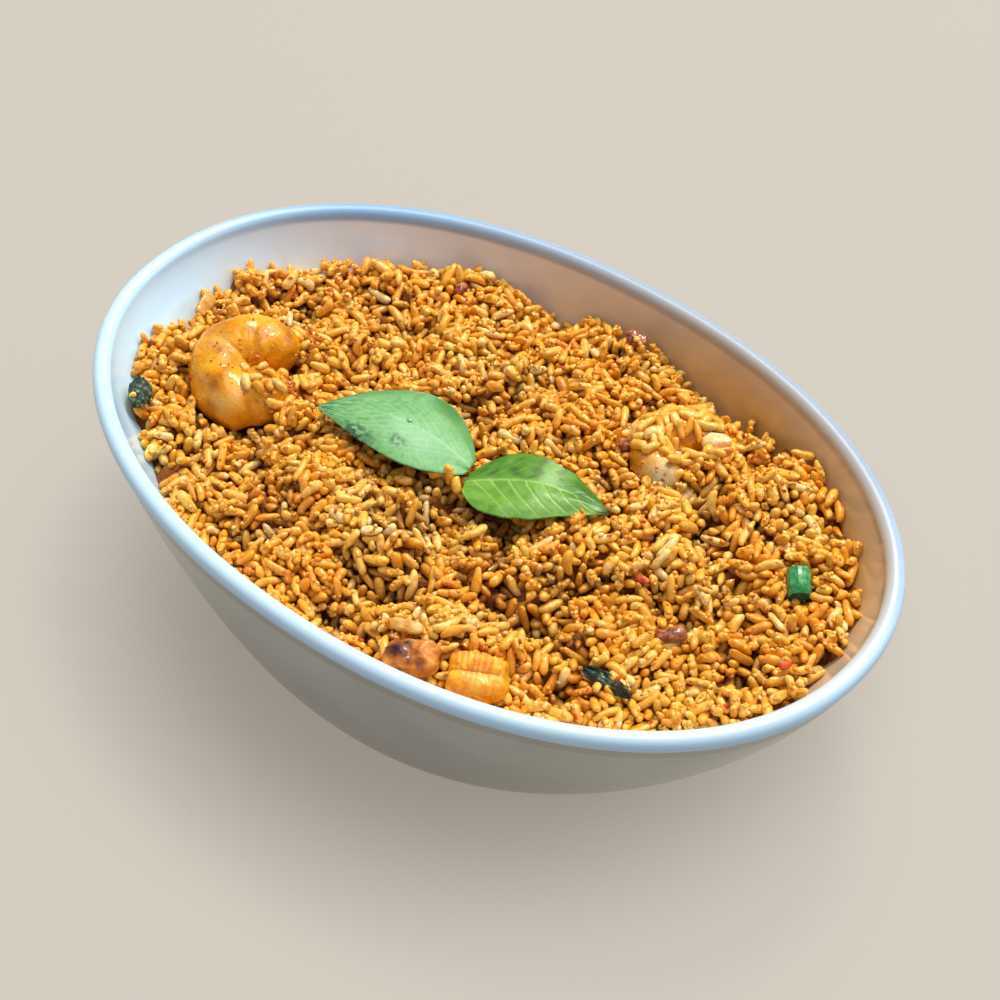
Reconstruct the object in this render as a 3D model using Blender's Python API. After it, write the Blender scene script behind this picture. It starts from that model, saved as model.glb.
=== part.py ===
"""Tom yum rice served in an oval melamine bowl, with two prawns, a piece of squid, a browned
piece, two basil leaves, a ring of spring onion and a slice of onion.

The long side of the bowl runs along X, +Z is up, and the bowl stands on the plane z = 0.
Every length in the constants is in millimetres."""
import math

import bmesh
import bpy
from mathutils import Matrix, Vector, noise

MM = 0.001
GAP = 0.3                      # left between two pieces that touch

# Bowl
BOWL_LENGTH = 220.0
BOWL_WIDTH = 144.0
BOWL_HEIGHT = 53.0
OVAL_POWER = 2.1               # 2 is an ellipse, more is squarer
BASE_LENGTH = 140.0
BASE_WIDTH = 114.0
WALL_POWER = 1.25              # 1 is a straight flared wall, more is rounder
LIP_WIDTH = 4.7
LIP_DROP = 3.7                 # from the top of the lip to its underside
LIP_OVERHANG = 0.85
FLOOR_THICKNESS = 4.0
FLOOR_LENGTH = 118.0
FLOOR_WIDTH = 96.0
FOOT_WIDTH = 6.0               # of the flat ring that the bowl stands on
FOOT_DEPTH = 0.8
BOWL_SIDES = 64

# Heap of rice
HEAP_MIDDLE = 43.4
HEAP_EDGE = (42, 43.5, 43.5, 45, 41.5, 36.5, 39.5, 36.5, 41.5, 41, 39, 41,  # where it meets the
             41, 42.5, 43, 41, 39, 38, 38, 38, 38, 38.5, 39, 40)            # wall, every 15 degrees
EDGE_SHARE = 2.6               # power: how far in from the wall the edge still sets the height
LUMP_HEIGHT = 2.4
LUMP_SIZE = 19.0
CLOD_HEIGHT = 1.8
CLOD_SIZE = 8.0
HEAP_GRID = 5.36
HEAP_SEED = Vector((3.7, 1.9, 0.6))
SPOON_MARKS = (                # x, y, radius and height of the mounds and hollows of the heap
    (-56, -46, 12, 2.2), (-10, -31, 14, 2.4), (14, -20, 12, 2.0), (36, -2, 14, 2.2),
    (57, 12, 13, 2.0), (62, -21, 14, 1.5), (-58, 34, 14, 2.0), (-85, 20, 12, 1.5),
    (0, 33, 16, 2.4), (53, 42, 12, 2.0), (-22, -17, 9, -3.2), (18, -11, 8, -2.8),
    (-27, -48, 8, -2.0), (-8, -44, 9, -3.2), (7, -48, 8, -2.6), (30, -29, 10, -3.2),
    (45, -14, 8, -2.6), (25, 24, 8, -2.2), (44, 26, 8, -1.8), (71, 8, 8, -2.4),
    (84, 10, 7, -2.0), (-27, 46, 10, -1.8), (-54, -30, 9, -4.2), (-48, -6, 7, -2.6),
    (-3, 57, 8, 4.0), (-34, 57, 7, 2.0), (36, 56, 8, 1.5), (56, 52, 7, 1.5))

# Toppings: centre, turn about Z in degrees, tilt of the far side upwards in degrees
SIDE_OF_VIEW = 40.6            # the pieces lie with their show side turned this way
PRAWN_LEFT = dict(centre=(-68.6, -11.4, 42.0), turn=SIDE_OF_VIEW, tilt=10.0, curl=8.5,
                  stretch=1.3, thick=7.7, thin=7.1, start=16.0, sweep=318.0)
PRAWN_RIGHT = dict(centre=(32.2, 37.6, 39.8), turn=SIDE_OF_VIEW, tilt=4.0, curl=8.4,
                   stretch=0.95, thick=5.9, thin=5.3, start=10.0, sweep=258.0)
PRAWN_RINGS = 18
PRAWN_SIDES = 10
PRAWN_SEGMENTS = 5

SQUID = dict(centre=(41.0, -48.5, 41.6), size=(14.0, 11.0, 7.0), turn=30.0, tilt=16.0)
BROWNED = dict(centre=(26.0, -54.0, 41.6), size=(12.5, 8.0, 6.0), turn=38.0, tilt=12.0)
CHUNK_POWER = 3.0

LEAF_LEFT = dict(base=(-0.1, -3.4, 45.6), tip=45.8, length=44.4, width=23.6, heading=190.5,
                 bend=-0.42, skew=0.87, blunt=0.74, taper=0.22)
LEAF_RIGHT = dict(base=(-0.2, -7.0, 44.2), tip=45.2, length=36.7, width=23.5, heading=22.8,
                  bend=0.32, skew=0.75, blunt=0.82, taper=0.35)
LEAF_THICKNESS = 0.7
LEAF_ARCH = 2.0                # the midrib stands this much over the edges
LEAF_STEPS = 12
LEAF_ACROSS = 6

ONION_RING = dict(centre=(79.5, 20.5, 42.4), outer=2.7, inner=1.7, length=6.8, turn=SIDE_OF_VIEW,
                  lean=-19.0)
ONION_SLICE = dict(centre=(-95.0, -0.5, 42.2), size=(8.0, 3.6, 2.0), turn=75.0, tilt=22.0)


# ---------------------------------------------------------------- helpers
def clear_scene():
    for thing in list(bpy.data.objects):
        bpy.data.objects.remove(thing, do_unlink=True)


def material(name, colour, roughness, metallic=0.0):
    made = bpy.data.materials.new(name)
    made.use_nodes = True
    shader = made.node_tree.nodes["Principled BSDF"]
    shader.inputs["Base Color"].default_value = (*colour, 1.0)
    shader.inputs["Roughness"].default_value = roughness
    shader.inputs["Metallic"].default_value = metallic
    return made


def finish(bm, name, look=None):
    """The bmesh, drawn in millimetres, becomes a named object in metres."""
    bmesh.ops.recalc_face_normals(bm, faces=bm.faces[:])
    bmesh.ops.scale(bm, vec=(MM, MM, MM), verts=bm.verts[:])
    mesh = bpy.data.meshes.new(name)
    bm.to_mesh(mesh)
    bm.free()
    made = bpy.data.objects.new(name, mesh)
    bpy.context.collection.objects.link(made)
    if look:
        mesh.materials.append(look)
        mesh.shade_smooth()
        mesh.set_sharp_from_angle(angle=math.radians(40))
    else:
        made.hide_render = True
        made.display_type = "WIRE"
    return made


def cut(target, tool, operation="DIFFERENCE"):
    step = target.modifiers.new(tool.name, "BOOLEAN")
    step.operation = operation
    step.solver = "EXACT"
    step.object = tool


def oval_start(bm, length, width, height, sides=BOWL_SIDES):
    """A flat oval face, the first ring of a stack of ovals."""
    made = bmesh.ops.create_circle(bm, cap_ends=True, radius=1.0, segments=sides)
    for corner in made["verts"]:
        u = math.atan2(corner.co.y, corner.co.x)
        c, s = math.cos(u), math.sin(u)
        reach = (abs(c) ** OVAL_POWER + abs(s) ** OVAL_POWER) ** (-1.0 / OVAL_POWER)
        corner.co = (reach * c * length / 2, reach * s * width / 2, height)
    return made["verts"]


def stack_ovals(bm, rings):
    """Extrudes an oval through (length, width, height) rings, each scaled to the next."""
    corners = oval_start(bm, *rings[0])
    edges = [e for e in bm.edges if all(v in set(corners) for v in e.verts)]
    for (l0, w0, z0), (l1, w1, z1) in zip(rings, rings[1:]):
        made = bmesh.ops.extrude_edge_only(bm, edges=edges)
        corners = [g for g in made["geom"] if isinstance(g, bmesh.types.BMVert)]
        edges = [g for g in made["geom"] if isinstance(g, bmesh.types.BMEdge)]
        bmesh.ops.scale(bm, vec=(l1 / l0, w1 / w0, 1.0), verts=corners)
        bmesh.ops.translate(bm, vec=(0, 0, z1 - z0), verts=corners)
    bmesh.ops.contextual_create(bm, geom=edges)


def tube_along(bm, stations, sides):
    """A closed skin through stations of (centre, across, up, half_width, half_height)."""
    rings = []
    for centre, across, up, wide, high in stations:
        ring = []
        for k in range(sides):
            a = 2 * math.pi * k / sides
            ring.append(bm.verts.new(centre + across * wide * math.cos(a) + up * high * math.sin(a)))
        rings.append(ring)
    for low, top in zip(rings, rings[1:]):
        for k in range(sides):
            n = (k + 1) % sides
            bm.faces.new((low[k], low[n], top[n], top[k]))
    bm.faces.new(rings[0])
    bm.faces.new(rings[-1])


def placing(centre, turn, tilt):
    """Matrix for a piece turned about Z and then with its far side raised."""
    return (Matrix.Translation(Vector(centre)) @ Matrix.Rotation(math.radians(turn), 4, "Z")
            @ Matrix.Rotation(math.radians(tilt), 4, "X"))


# ---------------------------------------------------------------- bowl
def flare(depth, top, bottom):
    """Length or width of the wall at depth 0 (top) to 1 (bottom)."""
    return bottom + (top - bottom) * (1 - depth ** WALL_POWER) ** (1 / WALL_POWER)


def outer_rings():
    top_length = BOWL_LENGTH - 2 * LIP_OVERHANG
    top_width = BOWL_WIDTH - 2 * LIP_OVERHANG
    wall_height = BOWL_HEIGHT - LIP_DROP
    steps = 9
    rings = []
    for k in range(steps + 1):
        depth = math.sin(math.pi / 2 * (steps - k) / steps)
        rings.append((flare(depth, top_length, BASE_LENGTH), flare(depth, top_width, BASE_WIDTH),
                      wall_height * (1 - depth)))
    return rings


def lip_rings():
    """Round bead: up its outer side, over the top and down to the inner wall."""
    round_out = LIP_WIDTH / 2
    rings = [(BOWL_LENGTH - 0.5, BOWL_WIDTH - 0.5, BOWL_HEIGHT - LIP_DROP + 0.1)]
    steps = 6
    for k in range(steps + 1):
        a = math.pi * k / steps
        inset = round_out * (1 - math.cos(a))
        height = BOWL_HEIGHT - round_out * (1 - math.sin(a))
        rings.append((BOWL_LENGTH - 2 * inset, BOWL_WIDTH - 2 * inset, height))
    return rings


def inner_size(height, clear=0.0):
    """Length and width of the hollow at a height, less a clearance all round."""
    top = BOWL_HEIGHT - LIP_WIDTH / 2
    depth = min(1.0, max(0.0, (top - height) / (top - FLOOR_THICKNESS)))
    return (flare(depth, BOWL_LENGTH - 2 * LIP_WIDTH, FLOOR_LENGTH) - 2 * clear,
            flare(depth, BOWL_WIDTH - 2 * LIP_WIDTH, FLOOR_WIDTH) - 2 * clear)


def inner_rings(start, clear=0.0, steps=7):
    """From a start height down to the floor."""
    floor = FLOOR_THICKNESS + clear
    rings = []
    for k in range(1, steps + 1):
        height = floor + (start - floor) * (1 - math.sin(math.pi / 2 * k / steps))
        rings.append((*inner_size(height, clear), height))
    return rings


def bowl():
    bm = bmesh.new()
    foot = [(BASE_LENGTH - 2 * FOOT_WIDTH - 2, BASE_WIDTH - 2 * FOOT_WIDTH - 2, FOOT_DEPTH),
            (BASE_LENGTH - 2 * FOOT_WIDTH, BASE_WIDTH - 2 * FOOT_WIDTH, 0.0)]
    stack_ovals(bm, foot + outer_rings() + lip_rings()
                + inner_rings(BOWL_HEIGHT - LIP_WIDTH / 2))
    return finish(bm, "bowl", material("white_melamine", (0.83, 0.86, 0.88), 0.22))


# ---------------------------------------------------------------- rice
def heap_height(x, y):
    """Height of the uneven top of the heap over a point of the floor."""
    level_length, level_width = inner_size(HEAP_MIDDLE)
    across, along = 2 * x / level_length, 2 * y / level_width
    share = min(1.0, math.hypot(across, along)) ** EDGE_SHARE
    height = share * edge_height(math.atan2(along, across)) + (1 - share) * HEAP_MIDDLE
    for mark_x, mark_y, radius, rise in SPOON_MARKS:
        height += rise * math.exp(-((x - mark_x) ** 2 + (y - mark_y) ** 2) / radius ** 2)
    height += LUMP_HEIGHT * noise.noise(Vector((x, y, 0)) / LUMP_SIZE + HEAP_SEED)
    height += CLOD_HEIGHT * noise.noise(Vector((x, y, 0)) / CLOD_SIZE + 2 * HEAP_SEED)
    return height


def edge_height(angle):
    """Height of the heap at the wall, eased between the heights of HEAP_EDGE."""
    turns = angle / (2 * math.pi) * len(HEAP_EDGE)
    low = math.floor(turns)
    ease = (1 - math.cos(math.pi * (turns - low))) / 2
    here, after = (HEAP_EDGE[k % len(HEAP_EDGE)] for k in (low, low + 1))
    return here + (after - here) * ease


def rice(cutters):
    """A block with a lumpy top, kept where it lies in the hollow of the bowl."""
    bm = bmesh.new()
    across = math.ceil(BOWL_LENGTH / HEAP_GRID)
    along = math.ceil(BOWL_WIDTH / HEAP_GRID)
    bmesh.ops.create_grid(bm, x_segments=across, y_segments=along, size=0.5,
                          matrix=Matrix.Diagonal((BOWL_LENGTH, BOWL_WIDTH, 1, 1)))
    for point in bm.verts:
        point.co.z = heap_height(point.co.x, point.co.y)
    border = [e for e in bm.edges if e.is_boundary]
    made = bmesh.ops.extrude_edge_only(bm, edges=border)
    skirt = [g for g in made["geom"] if isinstance(g, bmesh.types.BMVert)]
    for point in skirt:
        point.co.z = 0.0
    bmesh.ops.contextual_create(bm, geom=[g for g in made["geom"] if isinstance(g, bmesh.types.BMEdge)])
    heap = finish(bm, "rice", material("tom_yum_rice", (0.66, 0.28, 0.05), 0.45))

    hollow = bmesh.new()
    top = BOWL_HEIGHT - LIP_WIDTH / 2
    stack_ovals(hollow, list(reversed([(*inner_size(top, GAP), top)] + inner_rings(top, GAP))))
    cut(heap, finish(hollow, "hollow_of_bowl"), "INTERSECT")
    for tool in cutters:
        cut(heap, tool)
    return heap


# ---------------------------------------------------------------- toppings
def prawn(name, plan, look=None, grow=0.0):
    """A peeled prawn curled in its own plane, thick at the head end, with a ridge at each segment."""
    bm = bmesh.new()
    stations = []
    end_cap = (0.35, 0.75)                       # rings that round off each end
    steps = PRAWN_RINGS
    for k in range(steps + 1):
        t = k / steps
        angle = math.radians(plan["start"] + plan["sweep"] * t)
        outward = Vector((math.cos(angle), math.sin(angle), 0))
        spot = outward * plan["curl"] * (1 - 0.12 * t)
        spot.y *= plan["stretch"]
        body = plan["thick"] + (plan["thin"] - plan["thick"]) * t
        body *= 1 + 0.05 * abs(math.sin(math.pi * PRAWN_SEGMENTS * t))
        from_end = min(k, steps - k)
        if from_end < len(end_cap):
            body *= end_cap[from_end] + 0.1 * from_end
        stations.append((spot, outward, Vector((0, 0, 1)),
                         body + grow, 0.92 * body + grow))
    tube_along(bm, stations, PRAWN_SIDES)
    bmesh.ops.transform(bm, matrix=placing(plan["centre"], plan["turn"], plan["tilt"]), verts=bm.verts[:])
    return finish(bm, name, look)


def chunk(name, plan, look=None, grow=0.0):
    """A cooked lump: a ball pushed out towards a box, with soft corners."""
    bm = bmesh.new()
    bmesh.ops.create_uvsphere(bm, u_segments=14, v_segments=8, radius=1.0)
    half = Vector(plan["size"]) / 2
    for point in bm.verts:
        d = point.co.normalized()
        reach = sum(abs(c) ** CHUNK_POWER for c in d) ** (-1 / CHUNK_POWER)
        bumpy = 1 + 0.07 * noise.noise(d * 1.7 + Vector(plan["centre"]))
        point.co = Vector([d[i] * reach * (half[i] * bumpy + grow) for i in range(3)])
    bmesh.ops.transform(bm, matrix=placing(plan["centre"], plan["turn"], plan["tilt"]), verts=bm.verts[:])
    return finish(bm, name, look)


def leaf_half_width(plan, u):
    """Half the width of a basil leaf from the stalk (0) to the tip (1)."""
    swell = math.sin(math.pi * u ** plan["skew"]) ** plan["blunt"]
    return plan["width"] / 2 * swell * (1 - plan["taper"] * u ** 2)


def leaf(name, plan, look=None, grow=0.0):
    """A pointed oval blade that lies over the heap, thin and a little arched."""
    bm = bmesh.new()
    ahead = Vector((math.cos(math.radians(plan["heading"])), math.sin(math.radians(plan["heading"])), 0))
    side = Vector((-ahead.y, ahead.x, 0))
    first = 0.03

    def place(u, v, level):
        wide = leaf_half_width(plan, u) + grow
        spot = (Vector(plan["base"]) + ahead * plan["length"] * u
                + side * (v * wide + plan["bend"] * plan["length"] * u * (1 - u)))
        arch = LEAF_ARCH * (1 - v * v) * math.sin(math.pi * u)
        spot.z += (plan["tip"] - spot.z) * u + arch + level
        return bm.verts.new(spot)

    layers = []
    for level in (-grow, LEAF_THICKNESS + grow):
        rows = []
        for i in range(LEAF_STEPS + 1):
            u = first + (0.985 - first) * i / LEAF_STEPS
            rows.append([place(u, -1 + 2 * j / LEAF_ACROSS, level) for j in range(LEAF_ACROSS + 1)])
        for low, top in zip(rows, rows[1:]):
            for j in range(LEAF_ACROSS):
                bm.faces.new((low[j], low[j + 1], top[j + 1], top[j]))
        layers.append([rows[0], rows[-1], [r[0] for r in rows], [r[-1] for r in rows]])
    for under, over in zip(*layers):
        for j in range(len(under) - 1):
            bm.faces.new((under[j], under[j + 1], over[j + 1], over[j]))
    return finish(bm, name, look)


def onion_ring(name, plan, look=None, grow=0.0):
    """A short length of spring onion: an open tube, or a plain plug where it only cuts."""
    bm = bmesh.new()
    half = plan["length"] / 2 + grow
    outer = plan["outer"] + grow
    profile = [(outer, -half), (outer, half)]
    if look:
        profile += [(plan["inner"], half), (plan["inner"], -half)]
    else:
        profile = [(0.0, -half)] + profile + [(0.0, half)]
    points = [bm.verts.new((r, 0, z)) for r, z in profile]
    edges = [bm.edges.new(pair) for pair in zip(points, points[1:])]
    if look:
        edges.append(bm.edges.new((points[-1], points[0])))
    bmesh.ops.spin(bm, geom=points + edges, axis=(0, 0, 1), cent=(0, 0, 0), steps=16,
                   angle=2 * math.pi, use_merge=True)
    bmesh.ops.remove_doubles(bm, verts=bm.verts[:], dist=0.0001)
    lay = placing(plan["centre"], plan["turn"], 90.0 - plan["lean"])
    bmesh.ops.transform(bm, matrix=lay, verts=bm.verts[:])
    return finish(bm, name, look)


def toppings():
    """(name, maker, plan, material) of every piece that lies in the rice."""
    prawn_flesh = material("prawn_flesh", (0.72, 0.36, 0.07), 0.3)
    squid_flesh = material("squid_flesh", (0.80, 0.38, 0.10), 0.3)
    browned = material("browned_flesh", (0.36, 0.13, 0.07), 0.45)
    leaf_left = material("basil_leaf_underside", (0.22, 0.50, 0.16), 0.5)
    leaf_right = material("basil_leaf_top", (0.13, 0.36, 0.04), 0.35)
    onion_green = material("spring_onion_green", (0.06, 0.28, 0.08), 0.35)
    onion_clear = material("cooked_onion", (0.72, 0.52, 0.26), 0.3)
    return [("prawn_left", prawn, PRAWN_LEFT, prawn_flesh),
            ("prawn_right", prawn, PRAWN_RIGHT, prawn_flesh),
            ("squid_piece", chunk, SQUID, squid_flesh),
            ("browned_piece", chunk, BROWNED, browned),
            ("basil_leaf_left", leaf, LEAF_LEFT, leaf_left),
            ("basil_leaf_right", leaf, LEAF_RIGHT, leaf_right),
            ("spring_onion", onion_ring, ONION_RING, onion_green),
            ("onion_slice", chunk, ONION_SLICE, onion_clear)]


def main():
    clear_scene()
    bowl()
    pieces = toppings()
    for name, maker, plan, look in pieces:
        maker(name, plan, look)
    rice([maker("room_for_" + name, plan, grow=GAP) for name, maker, plan, look in pieces])


main()
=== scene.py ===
# %% [markdown]
# # Tom yum rice in an oval bowl
# A deep oval melamine bowl heaped with jasmine rice that was fried in chilli paste and oil. Two
# prawns, a scored piece of squid, a browned piece, a length of spring onion, a slice of onion
# and two basil leaves lie in and on it.
#
# The solid model is loaded first. Its boxes say where every piece goes, so nothing is fitted by
# eye afterwards.

# %% Load the solid model
import math

import bmesh
import bpy
import numpy as np
from mathutils import Matrix, Vector, noise
from mathutils.bvhtree import BVHTree


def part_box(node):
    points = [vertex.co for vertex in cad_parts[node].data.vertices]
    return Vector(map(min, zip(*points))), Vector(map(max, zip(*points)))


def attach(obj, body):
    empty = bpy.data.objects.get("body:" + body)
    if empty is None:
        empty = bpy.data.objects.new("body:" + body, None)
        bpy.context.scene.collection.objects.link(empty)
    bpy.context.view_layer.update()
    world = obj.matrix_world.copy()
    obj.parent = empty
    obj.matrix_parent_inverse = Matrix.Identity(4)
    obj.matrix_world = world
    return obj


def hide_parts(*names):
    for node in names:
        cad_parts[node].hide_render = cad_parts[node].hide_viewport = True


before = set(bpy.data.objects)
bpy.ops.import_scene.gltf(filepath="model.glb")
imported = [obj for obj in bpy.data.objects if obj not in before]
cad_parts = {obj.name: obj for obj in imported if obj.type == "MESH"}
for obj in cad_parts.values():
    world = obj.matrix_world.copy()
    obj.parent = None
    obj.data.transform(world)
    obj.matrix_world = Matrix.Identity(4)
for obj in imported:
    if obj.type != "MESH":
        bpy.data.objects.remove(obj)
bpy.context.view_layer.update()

MM = 0.001


# %% [markdown]
# ## Small helpers
# A shader tree is many nodes with a few settings each. One function adds a node of any kind, so
# a material reads as a list of what it is made of. Colours are written as the sRGB hex values
# that a colour picker shows, and are turned linear here, because a shader works in linear light.
# Some sockets of a Mix node share a name, so they are called by number: 0 is the share, 6 and 7
# are the two colours, and output 2 is the mixed colour.

# %% Colour, node and piece helpers
def linear(hex_colour):
    """sRGB hex to the linear colour that a shader works in."""
    parts = [int(hex_colour[k:k + 2], 16) / 255 for k in (1, 3, 5)]
    return tuple(c / 12.92 if c <= 0.04045 else ((c + 0.055) / 1.055) ** 2.4 for c in parts) + (1.0,)


def node(tree, kind, inputs=None, stops=None, **settings):
    """Adds a shader node: settings are its properties, inputs its sockets, stops a ramp's colours."""
    made = tree.nodes.new("ShaderNode" + kind)
    for name, value in settings.items():
        setattr(made, name, value)
    for name, value in (inputs or {}).items():
        if isinstance(value, bpy.types.NodeSocket):
            tree.links.new(value, made.inputs[name])
        else:
            made.inputs[name].default_value = value
    for k, (place, colour) in enumerate(stops or []):
        ramp = made.color_ramp.elements
        stop = ramp[k] if k < len(ramp) else ramp.new(place)
        stop.position = place
        stop.color = colour
    return made


def material(name):
    """An empty material with its output, ready for a surface."""
    made = bpy.data.materials.new(name)
    made.use_nodes = True
    made.node_tree.nodes.clear()
    print("material", name)
    return made, made.node_tree


def surface(tree, **sockets):
    """The Principled surface that ends a material."""
    names = {key: key.replace("_", " ") for key in sockets}
    shader = node(tree, "BsdfPrincipled", {names[key]: value for key, value in sockets.items()})
    node(tree, "OutputMaterial", {"Surface": shader.outputs[0]})


def add_piece(bm, name, look, stands_for=()):
    """Turns a bmesh in millimetres into a finished piece in metres."""
    bmesh.ops.scale(bm, vec=(MM, MM, MM), verts=bm.verts[:])
    mesh = bpy.data.meshes.new(name)
    bm.to_mesh(mesh)
    bm.free()
    return add_mesh(mesh, name, look, stands_for)


def add_mesh(mesh, name, look, stands_for=()):
    """Makes a mesh in metres a piece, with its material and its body."""
    mesh.materials.append(look)
    mesh.shade_smooth()
    piece = bpy.data.objects.new(name, mesh)
    bpy.context.collection.objects.link(piece)
    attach(piece, "root")
    for cad_node in stands_for:
        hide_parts(cad_node)
    print(f"{name}: {len(mesh.polygons)} faces")
    return piece


# %% [markdown]
# ## Camera
# The bowl is seen from above its long near side, through a short telephoto lens, so its far rim
# is hardly smaller than its near rim. The camera is placed by an azimuth round the bowl, an
# elevation and a distance, which are easier to think in than three coordinates.

# %% Camera
VIEW_AZIMUTH = math.radians(40.63)
VIEW_ELEVATION = math.radians(46.0)
VIEW_DISTANCE = 561.6 * MM
VIEW_TARGET = Vector((8.0, -2.6, 40.0)) * MM
LENS_MM = 83.9

flat = math.cos(VIEW_ELEVATION)
towards_camera = Vector((math.sin(VIEW_AZIMUTH) * flat, -math.cos(VIEW_AZIMUTH) * flat,
                         math.sin(VIEW_ELEVATION)))
camera = bpy.data.objects.new("camera", bpy.data.cameras.new("camera"))
camera.data.lens = LENS_MM
camera.location = VIEW_TARGET + towards_camera * VIEW_DISTANCE
camera.rotation_euler = towards_camera.to_track_quat("Z", "Y").to_euler()
bpy.context.collection.objects.link(camera)
bpy.context.scene.camera = camera
print("camera at", [round(c / MM) for c in camera.location], "mm")


# %% [markdown]
# ## Light and floor
# Soft daylight from a large window behind and above the bowl: the near wall falls into a quiet
# shade and the far side of each grain gets a bright edge. The world adds the cool light of the
# sky; the lip's blue is also painted into the bowl's colour as a painted reflection. The floor is
# plain and pale, and its glow is painted light, like a light table, so that the bowl's shadow
# stays faint. The glow is dimmed round the bowl's foot: a painted shadow, the soft dark edge
# that shows where the foot stands.

# %% Lights, sky and floor
def area_light(name, place, size, power, colour):
    """A round lamp that faces the bowl."""
    lamp = bpy.data.objects.new(name, bpy.data.lights.new(name, "AREA"))
    lamp.data.shape = "DISK"
    lamp.data.size = size
    lamp.data.energy = power
    lamp.data.color = linear(colour)[:3]
    lamp.location = place
    lamp.rotation_euler = (lamp.location - VIEW_TARGET).to_track_quat("Z", "Y").to_euler()
    bpy.context.collection.objects.link(lamp)


right = Vector((math.cos(VIEW_AZIMUTH), math.sin(VIEW_AZIMUTH), 0))
away = Vector((-math.sin(VIEW_AZIMUTH), math.cos(VIEW_AZIMUTH), 0))
area_light("skylight", right * 0.38 + away * 0.40 + Vector((0, 0, 1.40)), 1.7, 22.0, "#FFFAF2")
area_light("window", right * 0.30 + away * 0.62 + Vector((0, 0, 1.20)), 0.34, 10.0, "#FFF3E0")
area_light("blue_side", right * 1.1 + away * 0.15 + Vector((0, 0, 0.55)), 0.6, 2.5, "#9CCBFF")

world = bpy.data.worlds.new("sky")
world.use_nodes = True
world.node_tree.nodes["Background"].inputs["Color"].default_value = linear("#CFE0F7")
world.node_tree.nodes["Background"].inputs["Strength"].default_value = 0.44
bpy.context.scene.world = world
bpy.context.scene.view_settings.view_transform = "Standard"

FLOOR_SIZE = 6.0
# painted light: the board glows, which lifts the bowl's shadow; near the bowl the glow is dimmed as a
# painted shadow
floor_look, tree = material("matt_beige_board_painted_glow")
place = node(tree, "TexCoord").outputs["Object"]
mottle = node(tree, "TexNoise", {"Vector": place, "Scale": 3.0, "Detail": 2.0})
floor_colour = node(tree, "Mix", {0: mottle.outputs[0], 6: linear("#44413C"), 7: linear("#484540")},
                    data_type="RGBA").outputs[2]
# painted shadow: the glow is dimmed within 58 to 118 mm of the middle, round the bowl's foot
from_middle = node(tree, "VectorMath", {0: place}, operation="LENGTH").outputs["Value"]
outside_painted_shadow = node(tree, "MapRange", {"Value": from_middle, "From Min": 58 * MM, "From Max": 118 * MM},
                  interpolation_type="SMOOTHSTEP").outputs[0]
painted_glow = node(tree, "Mix", {0: outside_painted_shadow, 6: linear("#968F84"), 7: linear("#C3BCB0")},
            data_type="RGBA").outputs[2]
surface(tree, Base_Color=floor_colour, Roughness=0.8, Emission_Color=painted_glow, Emission_Strength=1.0)
bm = bmesh.new()
bmesh.ops.create_grid(bm, x_segments=1, y_segments=1, size=FLOOR_SIZE / 2)
floor_mesh = bpy.data.meshes.new("floor")
bm.to_mesh(floor_mesh)
bm.free()
floor_mesh.materials.append(floor_look)
floor = bpy.data.objects.new("floor", floor_mesh)
bpy.context.collection.objects.link(floor)


# %% [markdown]
# ## The bowl
# Melamine ware is pressed in a hot mould, so the wall is even, the edges are rounded and the lip
# is a bead that stiffens the rim. The plan is a superellipse a little fuller than an ellipse. It
# could be lofted from curves, but a stack of ovals is simpler: one oval is drawn, and each next
# ring is the last one extruded, scaled and lifted. The wall's flare is one formula, and the CAD
# solid has the same one, so the two agree.

# %% Bowl sizes and outlines
BOWL_LENGTH, BOWL_WIDTH, BOWL_HEIGHT = [
    (high - low) / MM for low, high in zip(*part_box("bowl"))]
OVAL_POWER = 2.1              # 2 is an ellipse, more is fuller
WALL_POWER = 1.25             # how straight the wall flares
BASE_LENGTH, BASE_WIDTH = 140.0, 114.0
FLOOR_LENGTH, FLOOR_WIDTH, FLOOR_THICKNESS = 118.0, 96.0, 4.0
LIP_WIDTH, LIP_DROP, LIP_OVERHANG = 4.7, 3.7, 0.85
FOOT_WIDTH, FOOT_DEPTH = 6.0, 0.8
BOWL_SIDES = 160


def flare(depth, top, bottom):
    """Length or width of the wall from its top (depth 0) to the base (depth 1)."""
    return bottom + (top - bottom) * (1 - depth ** WALL_POWER) ** (1 / WALL_POWER)


def inner_size(height):
    """Length and width of the hollow at a height."""
    top = BOWL_HEIGHT - LIP_WIDTH / 2
    depth = min(1.0, max(0.0, (top - height) / (top - FLOOR_THICKNESS)))
    return (flare(depth, BOWL_LENGTH - 2 * LIP_WIDTH, FLOOR_LENGTH),
            flare(depth, BOWL_WIDTH - 2 * LIP_WIDTH, FLOOR_WIDTH))


def eased(steps):
    """Numbers from 0 to 1 that end slowly, for rings that crowd where a wall turns."""
    return [math.sin(math.pi / 2 * k / steps) for k in range(1, steps + 1)]


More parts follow.
